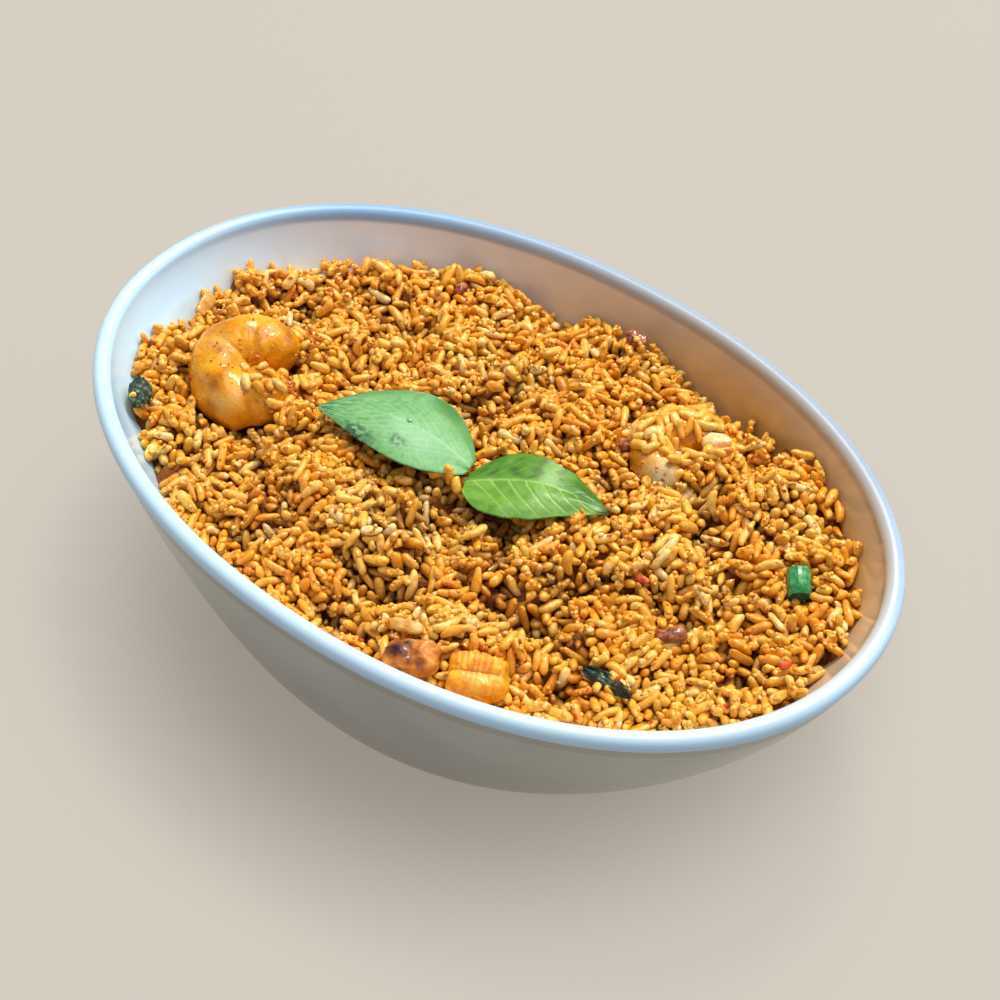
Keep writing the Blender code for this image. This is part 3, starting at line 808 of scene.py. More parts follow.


# %% [markdown]
# ## Cooked rice as a material
# A cooked grain is mostly water and starch: soft, a little see-through, so light enters it and
# comes out near by. Chilli paste and oil stain it golden orange, unevenly, and leave a thin
# shine that catches the window as small cream glints. Low in the gaps, where the paste has
# gathered and little light gets in, the colour is painted a dark red-brown: partly the paste,
# mostly painted shade. Noise at a tenth of a grain's width gives the powdery specks of spice.

# %% Rice material
def rice_look(name, stops, gloss, relief=0.18, shine=0.6):
    """Stained rice: the colour runs from bare starch to thick sauce, and to a painted shade of dark
    red-brown in the gaps.
    """
    look, tree = material(name)
    place = node(tree, "TexCoord").outputs["Object"]
    stain = node(tree, "Attribute", attribute_name="stain").outputs["Fac"]
    gap = node(tree, "Attribute", attribute_name="gap").outputs["Fac"]
    patch = node(tree, "TexNoise", {"Vector": place, "Scale": 1 / (1.5 * MM), "Detail": 3.0})
    uneven = node(tree, "MapRange", {"Value": patch.outputs[0], "From Min": 0.3, "From Max": 0.7,
                                     "To Min": -0.22, "To Max": 0.22}).outputs[0]
    amount = node(tree, "Math", {0: stain, 1: uneven}, operation="ADD").outputs[0]
    base = node(tree, "ValToRGB", {"Fac": amount}, stops=stops).outputs[0]
    # powder of dried chilli, about 0.45 mm so that it shows
    dust = node(tree, "TexNoise", {"Vector": place, "Scale": 1 / (0.45 * MM), "Detail": 2.0})
    dust = node(tree, "ValToRGB", {"Fac": dust.outputs[0]},
                stops=[(0.58, (0, 0, 0, 1)), (0.70, (1, 1, 1, 1))]).outputs[0]
    dust = node(tree, "Math", {0: dust, 1: 0.5}, operation="MULTIPLY").outputs[0]
    base = node(tree, "Mix", {0: dust, 6: base, 7: linear("#B04A08")}, data_type="RGBA").outputs[2]
    # painted shade: corners deep in the gaps are darkened towards red-brown
    gap = node(tree, "Math", {0: gap, 1: 0.80}, operation="MULTIPLY").outputs[0]
    base = node(tree, "Mix", {0: gap, 6: base, 7: linear("#522406")}, data_type="RGBA").outputs[2]
    skin = node(tree, "TexNoise", {"Vector": place, "Scale": 1 / (0.7 * MM), "Detail": 3.0})
    bump = node(tree, "Bump", {"Height": skin.outputs[0], "Strength": 0.7, "Distance": relief * MM})
    wet = node(tree, "MapRange", {"Value": patch.outputs[0], "To Min": gloss, "To Max": gloss + 0.2})
    surface(tree, Base_Color=base, Roughness=wet.outputs[0], IOR=1.45, Normal=bump.outputs[0],
            Specular_IOR_Level=0.3, Subsurface_Weight=0.25, Subsurface_Scale=0.8 * MM,
            Subsurface_Radius=(1.0, 0.45, 0.1), Coat_Weight=shine, Coat_Roughness=0.10)
    return look


RICE_STOPS = [(0.0, linear("#FBDD96")), (0.26, linear("#FAC248")), (0.60, linear("#F09E18")),
              (1.0, linear("#CC6408"))]
fried_rice = rice_look("fried_jasmine_rice", RICE_STOPS, 0.30)
# the core is darker than the grains: paste, and painted shade for the gaps it fills
CORE_STOPS = [(0.0, linear("#D08420")), (0.5, linear("#A85E0E")), (1.0, linear("#743A08"))]
core_look = rice_look("packed_rice_paste_and_painted_shade", CORE_STOPS, 0.5, relief=1.2, shine=0.1)
core = add_piece(core_mesh, "rice_core", core_look, ["rice"])
layer = core.data.attributes.new("stain", "FLOAT", "POINT")
layer.data.foreach_set("value", np.full(len(core.data.vertices), 0.6))


# %% [markdown]
# The stain of a grain depends on where it lies: sauce pools in patches, and deeper grains are
# soaked and also stained darker as painted shade. One grain in seventeen stayed nearly bare. How
# far a corner lies under the canopy is kept with it, for the painted shade of the gaps.

# %% Colour each grain
GAP_SHADE_START, GAP_SHADE_DEPTH = 2.8, 6.3
local_top = read_grid(grain_top, centre[:, 0], centre[:, 1])
under = np.clip((local_top - centre[:, 2] - 1.2) / LAYER_DEPTH, 0, 1)
sauce = np.array([noise.noise(Vector(c) / 12.0 + Vector((0.4, 4.4, 9.1))) for c in centre])
# deeper grains get more stain: sauce soaking them, and painted shade
stain = 0.38 + 0.20 * sauce + random.normal(0, 0.10, count) + 0.22 * under
stain = np.clip(np.where(random.random(count) < 0.06, stain - 0.26, stain), 0.04, 1.0)


def gap_shade_at(points):
    """How much painted shade a corner gets: 0 in the open to 1 deep in a gap, for every corner."""
    below = read_grid(canopy, points[..., 0], points[..., 1]) - points[..., 2]
    return np.clip((below - GAP_SHADE_START) / GAP_SHADE_DEPTH, 0, 1)


spots = np.array([v.co[:] for v in core.data.vertices]) / MM
layer = core.data.attributes.new("gap", "FLOAT", "POINT")
layer.data.foreach_set("value", gap_shade_at(spots))

MAKERS = {"whole": whole_grain, "bent": whole_grain, "split": split_grain, "broken": broken_grain}
BENDS = {"whole": 0.25, "bent": 0.7, "split": 0.4, "broken": 0.2}
for k, name in enumerate(KINDS):
    which = np.flatnonzero(kind == k)
    made = MAKERS[name]()
    bend = random.uniform(0.5, 1.5, len(which)) * BENDS[name]
    points = grain_points(made, which, centre, axis, length, bend)
    mesh = joined_copies(f"rice_{name}", made, points,
                         {"stain": stain[which], "gap": gap_shade_at(points)})
    add_mesh(mesh, f"rice_{name}", fried_rice)


# %% [markdown]
# ## Crumbs of rice and chilli
# Frying breaks some grains to crumbs, and they stick to the oily sides of the others. So each
# crumb is set on a grain of the top layer, half sunk in its skin. Flakes of dried chilli are the
# same thing, but flat and red. Both have only twenty faces.

# %% Crumbs and flakes on the grains
def crumb():
    """A small rounded bit with a map of its skin."""
    made = bmesh.new()
    made.loops.layers.uv.new("OFBake")
    bmesh.ops.create_icosphere(made, subdivisions=1, radius=1.0, calc_uvs=True)
    return made


def turned_about(number):
    """Random rotations, one for each copy."""
    first = unit(random.standard_normal((number, 3)))
    second = unit(np.cross(first, random.standard_normal((number, 3))))
    return np.stack([first, second, np.cross(first, second)], axis=2)


CRUMB_ROUGHNESS = 0.16
TOP_LAYER = 0.12              # how deep a grain may lie, as a share of the layer, to carry crumbs


def crumb_points(made, centres, sizes, rotations):
    """Corners of bits of given half sizes, each a little misshapen."""
    shape = np.array([v.co[:] for v in made.verts])
    rough = 1 + CRUMB_ROUGHNESS * random.standard_normal((len(centres), len(shape), 1))
    local = shape[None] * rough * sizes[:, None, :]
    return centres[:, None] + np.einsum("nij,nkj->nki", rotations, local)


def on_grains(number):
    """Places on the skins of grains of the top layer, and the way out of the skin there."""
    top_grains = np.flatnonzero(under < TOP_LAYER)
    host = random.choice(top_grains, number)
    outward = random.normal((0, 0, 0.9), 0.6, (number, 3))
    outward -= axis[host] * (outward * axis[host]).sum(axis=1, keepdims=True)
    outward = unit(outward)
    slide = random.uniform(-1, 1, number) * reach[host]
    return centre[host] + axis[host] * slide[:, None] + outward * GRAIN_RADIUS, outward


CRUMB_COUNT, FLAKE_COUNT = 4600, 120
places, _ = on_grains(CRUMB_COUNT)
sizes = random.uniform(0.35, 0.9, (CRUMB_COUNT, 1)) * random.uniform(0.6, 1.2, (CRUMB_COUNT, 3))
made = crumb()
points = crumb_points(made, places, sizes, turned_about(CRUMB_COUNT))
crumb_stain = np.clip(random.normal(0.42, 0.18, CRUMB_COUNT), 0.0, 1.0)
mesh = joined_copies("rice_crumbs", made, points,
                     {"stain": crumb_stain, "gap": gap_shade_at(points)})
add_mesh(mesh, "rice_crumbs", fried_rice)

chilli_look, tree = material("dried_chilli_flakes")
place = node(tree, "TexCoord").outputs["Object"]
cloud = node(tree, "TexNoise", {"Vector": place, "Scale": 1 / (1.0 * MM), "Detail": 2.0})
red = node(tree, "ValToRGB", {"Fac": cloud.outputs[0]},
           stops=[(0.35, linear("#A83208")), (0.60, linear("#D8560C")), (0.8, linear("#EC9032"))])
surface(tree, Base_Color=red.outputs[0], Roughness=0.5, IOR=1.45, Specular_IOR_Level=0.25,
        Coat_Weight=0.15, Coat_Roughness=0.15)
places, outward = on_grains(FLAKE_COUNT)
flat_first = unit(np.cross(outward, random.standard_normal((FLAKE_COUNT, 3))))
facing = np.stack([flat_first, np.cross(outward, flat_first), outward], axis=2)
sizes = random.uniform(0.6, 1.0, (FLAKE_COUNT, 1)) * np.array([1.1, 0.65, 0.22])
made = crumb()
points = crumb_points(made, places, sizes, facing)
mesh = joined_copies("chilli_flakes", made, points, {})
add_mesh(mesh, "chilli_flakes", chilli_look)


# %% [markdown]
# ## Prawns
# Each prawn is peeled and curled into a ring. Its body is a tube swept round an arc, thick at the
# head end and rounded off at both ends. A pinch between every two segments of the body tells the
# eye what it is. The tube is one circle, extruded from station to station.

# %% Sweep a prawn
def bell(value, middle, reach):
    """1 at the middle, falling off to nothing a little past the reach."""
    return math.exp(-((value - middle) / reach) ** 2)


def eased_between(low, high, value):
    """0 at low, 1 at high and eased between them; low may be the larger."""
    share = min(1.0, max(0.0, (value - low) / (high - low)))
    return share * share * (3 - 2 * share)


PRAWN_SIDES, PRAWN_STATIONS = 40, 110
PRAWN_SEGMENTS = 5
HEAD_ROUND, TAIL_ROUND = 0.11, 0.09            # share of the length that is rounded off
CLEAR_SPOTS = {               # x, y, z and reach of the places that stayed glassy
    "prawn_left": [(-64.0, -24.5, 43.0, 3.0), (-61.5, -23.0, 45.0, 1.8), (-76.0, -13.0, 48.0, 3.0)],
    "prawn_right": [(34.7, 25.7, 42.0, 5.0), (38.1, 43.2, 45.0, 2.4)]}


def swept(stations, sides):
    """A closed skin: a unit circle carried through a list of placing matrices by extrusion."""
    made = bmesh.new()
    ring = bmesh.ops.create_circle(made, cap_ends=True, radius=1.0, segments=sides)["verts"]
    bmesh.ops.transform(made, matrix=stations[0], verts=ring)
    edges = made.edges[:]
    for before, after in zip(stations, stations[1:]):
        grown = bmesh.ops.extrude_edge_only(made, edges=edges)["geom"]
        corners = [g for g in grown if isinstance(g, bmesh.types.BMVert)]
        edges = [g for g in grown if isinstance(g, bmesh.types.BMEdge)]
        bmesh.ops.transform(made, matrix=after @ before.inverted(), verts=corners)
    bmesh.ops.contextual_create(made, geom=edges)
    bmesh.ops.recalc_face_normals(made, faces=made.faces[:])
    return made


def placing(centre, turn, tilt):
    """Matrix for a piece turned about Z and then with its far side raised."""
    return (Matrix.Translation(centre) @ Matrix.Rotation(math.radians(turn), 4, "Z")
            @ Matrix.Rotation(math.radians(tilt), 4, "X"))


def settle_in(made, cad_node, turn, tilt):
    """Turns a piece made at the origin and moves it so that its box's middle is the CAD node's."""
    bmesh.ops.transform(made, matrix=placing(Vector(), turn, tilt), verts=made.verts[:])
    low = Vector([min(v.co[k] for v in made.verts) for k in range(3)])
    high = Vector([max(v.co[k] for v in made.verts) for k in range(3)])
    cad_low, cad_high = (Vector(c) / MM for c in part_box(cad_node))
    bmesh.ops.translate(made, vec=(cad_low + cad_high) / 2 - (low + high) / 2, verts=made.verts[:])


def prawn(cad_node, look, curl, stretch, thick, thin, start, sweep, turn, tilt, seed):
    stations = []
    for k in range(PRAWN_STATIONS + 1):
        t = k / PRAWN_STATIONS
        angle = math.radians(start + sweep * t)
        radius = curl * (1 - 0.12 * t)
        body = thick + (thin - thick) * t
        round_off = min(1.0, t / HEAD_ROUND, (1 - t) / TAIL_ROUND)
        body *= max(0.04, math.sqrt(1 - (1 - round_off) ** 2))
        pinch = abs(math.sin(math.pi * PRAWN_SEGMENTS * (t + 0.02))) ** 0.5
        body *= 0.955 + 0.045 * pinch
        spot = Vector((radius * math.cos(angle), stretch * radius * math.sin(angle), 0))
        stations.append(Matrix.Translation(spot) @ Matrix.Rotation(angle, 4, "Z")
                        @ Matrix.Rotation(math.pi / 2, 4, "X")
                        @ Matrix.Diagonal((body, 0.92 * body, 1, 1)))
    made = swept(stations, PRAWN_SIDES)
    made.normal_update()
    for corner in made.verts:
        spot = corner.co
        bumps = (1.3 * noise.noise(spot / 8.0 + Vector((seed, 0, 0)))
                 + 0.35 * noise.noise(spot / 3.2) + 0.14 * noise.noise(spot / 1.3))
        corner.co = spot + corner.normal * bumps
    settle_in(made, cad_node, turn, tilt)
    clear = made.verts.layers.float.new("clear")
    for corner in made.verts:
        corner[clear] = max(math.exp(-((corner.co - Vector(spot)).length / size) ** 2)
                            for *spot, size in CLEAR_SPOTS[cad_node])
    return add_piece(made, cad_node + "_flesh", look, [cad_node])


# %% [markdown]
# ## Cooked prawn
# Prawn flesh turns from glassy to milky as it cooks, and the oil of the tom yum paste dyes it
# amber. Light still goes a few millimetres into it, which is why it looks softer than the rice.
# Its skin is wet, so it carries the sharpest highlights in the bowl, and paste sticks to it in
# orange specks.

# %% Prawn material
def flesh_look(name, pale, golden, deep, scatter, gloss, scale=7.0, glassy=None, wet=0.45):
    look, tree = material(name)
    place = node(tree, "TexCoord").outputs["Object"]
    cloud = node(tree, "TexNoise", {"Vector": place, "Scale": 1 / (scale * MM), "Detail": 3.0})
    base = node(tree, "ValToRGB", {"Fac": cloud.outputs[0]},
                stops=[(0.32, linear(deep)), (0.50, linear(golden)), (0.70, linear(pale))]).outputs[0]
    grit = node(tree, "TexNoise", {"Vector": place, "Scale": 1 / (0.9 * MM), "Detail": 3.0})
    grit = node(tree, "ValToRGB", {"Fac": grit.outputs[0]},
                stops=[(0.60, (0, 0, 0, 1)), (0.72, (1, 1, 1, 1))]).outputs[0]
    grit = node(tree, "Math", {0: grit, 1: 0.6}, operation="MULTIPLY").outputs[0]
    base = node(tree, "Mix", {0: grit, 6: base, 7: linear("#B4560A")}, data_type="RGBA").outputs[2]
    if glassy:                # the places that the attribute clear marks
        clear = node(tree, "Attribute", attribute_name="clear").outputs["Fac"]
        base = node(tree, "Mix", {0: clear, 6: base, 7: linear(glassy)}, data_type="RGBA").outputs[2]
    fibre = node(tree, "TexNoise", {"Vector": place, "Scale": 1 / (0.8 * MM), "Detail": 3.0})
    bump = node(tree, "Bump", {"Height": fibre.outputs[0], "Strength": 0.4, "Distance": 0.3 * MM})
    wrinkle = node(tree, "TexNoise", {"Vector": place, "Scale": 1 / (2.6 * MM), "Detail": 2.0,
                                      "Distortion": 1.5})
    bump = node(tree, "Bump", {"Height": wrinkle.outputs[0], "Strength": 0.5, "Distance": 0.5 * MM,
                               "Normal": bump.outputs[0]})
    surface(tree, Base_Color=base, Roughness=gloss, IOR=1.42, Normal=bump.outputs[0],
            Specular_IOR_Level=0.25, Subsurface_Weight=0.35, Subsurface_Scale=scatter * MM,
            Subsurface_Radius=(1.0, 0.5, 0.12), Coat_Weight=wet, Coat_Roughness=0.06)
    return look


PRAWN_COLOURS = ("#F6B424", "#E8980C", "#AC6204")
prawn_look = flesh_look("prawn_cooked_in_oil", *PRAWN_COLOURS, 2.6, 0.22, glassy="#DEAC5A")
glassy_look = flesh_look("prawn_cooked_glassy_end", *PRAWN_COLOURS, 2.6, 0.2, glassy="#BDB184",
                         wet=0.9)
prawn_left = prawn("prawn_left", prawn_look, curl=7.6, stretch=1.12, thick=9.0, thin=8.0,
                   start=14, sweep=334, turn=40.6, tilt=10, seed=1.7)
prawn_right = prawn("prawn_right", glassy_look, curl=8.4, stretch=0.95, thick=5.9, thin=5.3,
                    start=10, sweep=258, turn=40.6, tilt=4, seed=6.1)


# %% [markdown]
# ## Rice on the toppings
# Grains also lie on the prawns: a few in the crease of the left one, and many over the right one,
# which is nearly buried. Each is laid flat on the surface below it, found with a falling ray.

# %% Grains strewn on the prawns
def laid_on(spots, tree, sink):
    """Centres and axes of grains lying on a piece or on the rice at spots of the plan."""
    centres, axes = [], []
    for x, y in spots:
        hit, way = dropped(tree, x, y)
        bed = float(read_grid(grain_top, np.array([x]), np.array([y]))[0])
        level = max(hit.z, bed) if hit else bed
        way = way if hit and hit.z > bed else Vector((0, 0, 1))
        along = way.cross(Vector(random.standard_normal(3))).normalized()
        centres.append((x, y, level + GRAIN_RADIUS - sink))
        axes.append(along[:])
    return np.array(centres), np.array(axes)


def scattered(x, y, along, across, heading, number, apart):
    """Random spots in an oval patch of the plan, none of them closer than a distance."""
    c, s = math.cos(math.radians(heading)), math.sin(math.radians(heading))
    kept = []
    for _ in range(number * 12):
        radius, angle = math.sqrt(random.random()), random.uniform(0, 2 * math.pi)
        a, b = radius * math.cos(angle) * along, radius * math.sin(angle) * across
        spot = (x + a * c - b * s, y + a * s + b * c)
        if len(kept) < number and all(math.dist(spot, other) > apart for other in kept):
            kept.append(spot)
    return np.array(kept)


TORN_X, TORN_Y = 38.1, 43.2   # where a flake of flesh lies bare on the right prawn
crease = scattered(-62.0, -10.5, 8.0, 2.2, 30, 7, 2.6)
left_edge = scattered(-57.5, -15.0, 5.5, 3.2, 30, 8, 2.4)
left_end = scattered(-55.5, -3.5, 3.0, 2.4, 40, 5, 2.2)
over_right = scattered(31.5, 40.0, 12.5, 9.0, 40, 52, 2.1)
glint = np.hypot(over_right[:, 0] - TORN_X, over_right[:, 1] - TORN_Y) < 3.4
bare_end = np.hypot(over_right[:, 0] - 34.7, over_right[:, 1] - 26.5) < 5.5
over_right = over_right[~(glint | bare_end)]
left_spots = np.vstack([crease, left_edge, left_end])
left_centres, left_axes = laid_on(left_spots, tree_of(prawn_left), 0.5)
right_centres, right_axes = laid_on(over_right, tree_of(prawn_right), 0.3)
base_centres = np.array([[-3.6, -7.9, 45.0], [-6.6, -8.6, 44.2], [-0.6, -8.6, 44.0]])
base_axes = unit(np.array([[-0.15, 0.1, 1.0], [0.8, 0.5, 0.5], [-0.5, 0.4, 0.6]]))
laid_centre = np.vstack([left_centres, right_centres, base_centres])
laid_axis = np.vstack([left_axes, right_axes, base_axes])
laid_count = len(laid_centre)
laid_length = np.clip(random.normal(5.8, 1.1, laid_count), 3.2, 8.0)
laid_length[:len(left_spots)] *= 0.78
made = whole_grain()
points = grain_points(made, np.arange(laid_count), laid_centre, laid_axis, laid_length,
                      random.uniform(0.1, 0.8, laid_count))
laid_stain = np.clip(random.normal(0.34, 0.12, laid_count), 0.02, 1.0)
mesh = joined_copies("rice_on_toppings", made, points,
                     {"stain": laid_stain, "gap": np.zeros(laid_count)})
add_mesh(mesh, "rice_on_toppings", fried_rice)


# %% [markdown]
# Paste clings to the prawns too: orange specks all over, and a thick smear at the right end of the
# left one, where it was dragged through the sauce. Each speck is a crumb set on the skin.

# %% Paste on the prawns
def specks_on(piece, number, largest, rule):
    """Crumb corners on the skin of a piece, at random places that a rule keeps."""
    corners = np.array([v.co[:] for v in piece.data.vertices]) / MM
    outward = np.array([v.normal[:] for v in piece.data.vertices])
    fit = np.flatnonzero((outward[:, 2] > -0.1) & rule(corners))
    chosen = random.choice(fit, number)
    sizes = random.uniform(0.35, 1.0, (number, 1)) * np.array([1.0, 0.8, 0.55]) * largest
    across = unit(np.cross(outward[chosen], random.standard_normal((number, 3))))
    facing = np.stack([across, np.cross(outward[chosen], across), outward[chosen]], axis=2)
    places = corners[chosen] + random.normal(0, 0.25, (number, 3))
    return crumb_points(crumb(), places, sizes, facing)


def near(x, y, reach):
    """A rule that keeps what lies close to a point of the plan."""
    return lambda corners: np.hypot(corners[:, 0] - x, corners[:, 1] - y) < reach


paste_look = rice_look("chilli_paste_in_oil", [(0.0, linear("#F4B040")), (0.5, linear("#E07C14")),
                                               (1.0, linear("#B04A0A"))], 0.22)
points = np.concatenate([
    specks_on(prawn_left, 150, 0.42, near(-68.6, -11.4, 30.0)),
    specks_on(prawn_left, 90, 0.9, near(-55.0, -4.5, 5.5)),
    specks_on(prawn_left, 70, 0.9, near(-55.5, -14.0, 5.0)),
    specks_on(prawn_left, 50, 0.8, near(-63.0, -11.0, 4.0)),
    specks_on(prawn_right, 130, 0.7, near(32.2, 37.6, 30.0))])
paste_stain = np.clip(random.normal(0.45, 0.25, len(points)), 0.0, 1.0)
mesh = joined_copies("paste_specks", crumb(), points,
                     {"stain": paste_stain, "gap": np.zeros(len(points))})
add_mesh(mesh, "paste_specks", paste_look)


# %% [markdown]
# ## Squid and the browned piece
# Squid is scored in a lattice before it is fried, so it opens into rows of small ridges. The
# browned piece beside it is a scrap of flesh with char on its top. Both start as a ball pushed
# out towards a box, because a cut and cooked lump has soft corners.

# %% Lumps of flesh
CHUNK_POWER = 3.4


def mark(made, spots):
    """Keeps how near each corner lies to the marked spots, as the attribute clear."""
    layer = made.verts.layers.float.new("clear")
    for corner in made.verts:
        corner[layer] = max(bell((corner.co - Vector(spot)).length, 0.0, size) for spot, size in spots)


def lump(size, seed, ridges=0, rows=0, roughen=0.5, sides=64):
    """A soft-cornered block of a size, with rows of scored ridges over its top if wanted."""
    made = bmesh.new()
    bmesh.ops.create_uvsphere(made, u_segments=sides, v_segments=sides // 2, radius=1.0)
    half = Vector(size) / 2
    for corner in made.verts:
        d = corner.co.normalized()
        reach = sum(abs(c) ** CHUNK_POWER for c in d) ** (-1 / CHUNK_POWER)
        spot = Vector([d[i] * reach * half[i] for i in range(3)])
        swell = roughen * noise.noise(spot / 3.5 + Vector((seed, 0, 0)))
        swell += 0.3 * roughen * noise.noise(spot / 1.2)
        if ridges:
            across, along = spot.x / size[0] + 0.5, spot.y / size[1] + 0.5
            far_half = 0.15 + 0.35 * eased_between(0.35, 0.60, along)
            groove = (1 - abs(math.sin(math.pi * ridges * across)) ** 0.6) * far_half
            groove += (1 - abs(math.sin(math.pi * rows * along)) ** 0.4) * 0.8
            swell -= groove * max(0.0, d.z + 0.4)
        corner.co = spot + d * swell
    return made


squid_look = flesh_look("scored_squid_fried", "#FCBC3C", "#EE9612", "#D87008", 2.0, 0.3, 4.0,
                        glassy="#FFC866")
squid = lump((14, 11, 7), 2.0, ridges=10, rows=2, roughen=0.8, sides=120)
settle_in(squid, "squid_piece", 30, 16)
middle = sum((Vector(c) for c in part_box("squid_piece")), Vector()) / 2 / MM
mark(squid, [(middle - away * 2.5 + Vector((0, 0, 3.0)), 2.2)])
add_piece(squid, "squid_scored", squid_look, ["squid_piece"])
browned_look = flesh_look("browned_flesh", "#E8A044", "#CC7822", "#6A2414", 1.2, 0.36, 3.4,
                          glassy="#26101C")
browned = lump((12.5, 8, 6), 5.0, roughen=1.1)
settle_in(browned, "browned_piece", 38, 12)
middle = sum((Vector(c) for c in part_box("browned_piece")), Vector()) / 2 / MM
mark(browned, [(middle - right * 3.6 + Vector((0, 0, 3.0)), 2.2),
               (middle - right * 1.0 + away * 1.5 + Vector((0, 0, 3.4)), 1.4)])
add_piece(browned, "browned_scrap", browned_look, ["browned_piece"])
onion_look = flesh_look("onion_cooked_clear", "#E6BE74", "#D8A048", "#B8802A", 2.2, 0.25, 3.0)
onion = lump((8, 3.6, 2), 8.0, roughen=0.3, sides=32)
settle_in(onion, "onion_slice", 112, 38)
add_piece(onion, "onion_slice_clear", onion_look, ["onion_slice"])


# %% [markdown]
# ## Scraps in the rice
# Small scraps lie about the heap: flakes of browned meat with a coarse grain, a curl of cooked
# basil, dark and limp, at the near edge and another at the left wall, a clear flake, a milky one
# torn from the right prawn, and three larger flakes of chilli, one of them on the left prawn. The
# meat and the flakes are the same lump as above; the basil is a small crumpled sheet.

# %% Scraps
def set_down(made, x, y, turn, tilt, sink):
    """Moves a piece made at the origin to a point of the plan, on top of the grains."""
    top = float(read_grid(grain_top, np.array([x]), np.array([y]))[0])
    here = placing(Vector((x, y, top - sink)), turn, tilt)
    bmesh.ops.transform(made, matrix=here, verts=made.verts[:])


def joined(parts):
    """One bmesh of several, for scraps of one kind."""
    whole = bmesh.new()
    for part in parts:
        mesh = bpy.data.meshes.new("part")
        part.to_mesh(mesh)
        part.free()
        whole.from_mesh(mesh)
        bpy.data.meshes.remove(mesh)
    return whole


def limp_blade(long, wide, seed):
    """A crumpled scrap of a leaf."""
    made = bmesh.new()
    bmesh.ops.create_grid(made, x_segments=30, y_segments=16, size=0.5)
    for corner in made.verts:
        x, y = corner.co.x, corner.co.y
        full = math.sqrt(max(0.06, 1 - (2 * x) ** 2))
        fold = 0.07 * wide * math.cos(5 * y) + 1.6 * noise.noise(Vector((x * 3, y * 2, seed)))
        crimp = 0.5 * noise.noise(Vector((x * 9, y * 7, seed)))
        corner.co = (x * long, y * wide * full, fold + crimp)
    bmesh.ops.recalc_face_normals(made, faces=made.faces[:])
    bmesh.ops.solidify(made, geom=made.faces[:], thickness=0.35)
    bmesh.ops.recalc_face_normals(made, faces=made.faces[:])
    return made


meat_look = flesh_look("meat_fried_brown", "#CE8E5E", "#A2562C", "#5C2414", 0.6, 0.36, 1.6)
MEAT = [                      # size, place on the plan, turn, tilt, how deep it is set
    ((7.4, 3.2, 2.2), 66.5, -11.5, 35, 12, 0.3), ((4.6, 3.0, 2.6), 20.5, 31.0, 60, 0, 0.6),
    ((6.5, 4.0, 3.4), 0.7, 59.5, 20, 10, 0.4), ((4.0, 2.4, 2.2), -48.2, 47.8, 80, 0, 0.3)]
parts = []
for size, x, y, turn, tilt, sink in MEAT:
    parts.append(lump(size, x, roughen=1.3, sides=28))
    set_down(parts[-1], x, y, turn, tilt, sink)
add_piece(joined(parts), "meat_flakes", meat_look)
made = lump((8.0, 3.0, 1.2), 3.0, roughen=0.5, sides=28)
set_down(made, 19.5, -48.5, 25, 20, 0.0)
add_piece(made, "clear_flake", onion_look)

# a flake of milky flesh, torn from the right prawn and lying on it
milky_look = flesh_look("prawn_flesh_milky", "#FFF4D6", "#FBE0A0", "#F0B450", 2.0, 0.2, 3.0,
                        wet=0.9)
bed = tree_of(prawn_right).find_nearest(Vector((TORN_X, TORN_Y, 52.0)))[0]
made = lump((7.0, 4.4, 2.6), 9.0, roughen=0.9, sides=32)
here = placing(Vector((TORN_X, TORN_Y, bed.z + 0.3)), 44, -10)
bmesh.ops.transform(made, matrix=here, verts=made.verts[:])
add_piece(made, "milky_flake", milky_look)
print(f"the milky flake lies at {bed.z + 0.3:.1f} mm")

# two flakes of chilli on the rice and one stuck to the left prawn
parts = []
for size, x, y, turn in [((3.4, 1.7, 0.9), 52.1, -3.0, 10), ((3.4, 1.8, 0.9), 92.5, -3.3, 70)]:
    parts.append(lump(size, y, roughen=0.4, sides=20))
    set_down(parts[-1], x, y, turn, 15, -0.2)
spot, way = tree_of(prawn_left).find_nearest(Vector((-77.0, -22.7, 43.0)))[:2]
parts.append(lump((1.8, 1.4, 0.9), 4.0, roughen=0.3, sides=16))
facing = way.to_track_quat("Z", "Y").to_matrix().to_4x4()
bmesh.ops.transform(parts[-1], matrix=Matrix.Translation(spot) @ facing, verts=parts[-1].verts[:])
add_piece(joined(parts), "chilli_pieces", chilli_look)

limp_look, tree = material("basil_cooked_dark")
place = node(tree, "TexCoord").outputs["Object"]
wrinkle = node(tree, "TexNoise", {"Vector": place, "Scale": 1 / (1.4 * MM), "Detail": 4.0})
green = node(tree, "ValToRGB", {"Fac": wrinkle.outputs[0]},
             stops=[(0.35, linear("#0E1712")), (0.55, linear("#22382A")), (0.75, linear("#6A8A5C"))])
bump = node(tree, "Bump", {"Height": wrinkle.outputs[0], "Strength": 0.6, "Distance": 0.4 * MM})
surface(tree, Base_Color=green.outputs[0], Roughness=0.45, IOR=1.42, Normal=bump.outputs[0],
        Coat_Weight=0.15, Coat_Roughness=0.15)
at_wall, at_front = limp_blade(10.0, 6.0, 1.0), limp_blade(13.0, 3.6, 2.0)
set_down(at_wall, -80.8, -36.4, 128, 20, -0.9)
set_down(at_front, 63.4, -30.4, 2, 30, -0.5)
add_piece(joined([at_wall, at_front]), "cooked_basil", limp_look)


# %% [markdown]
# ## Spring onion
# A spring onion leaf is a hollow tube. A slice of it keeps the wall, the thin inner skin and the
# ribs that run along it. Its wall's outline is spun round the axis.

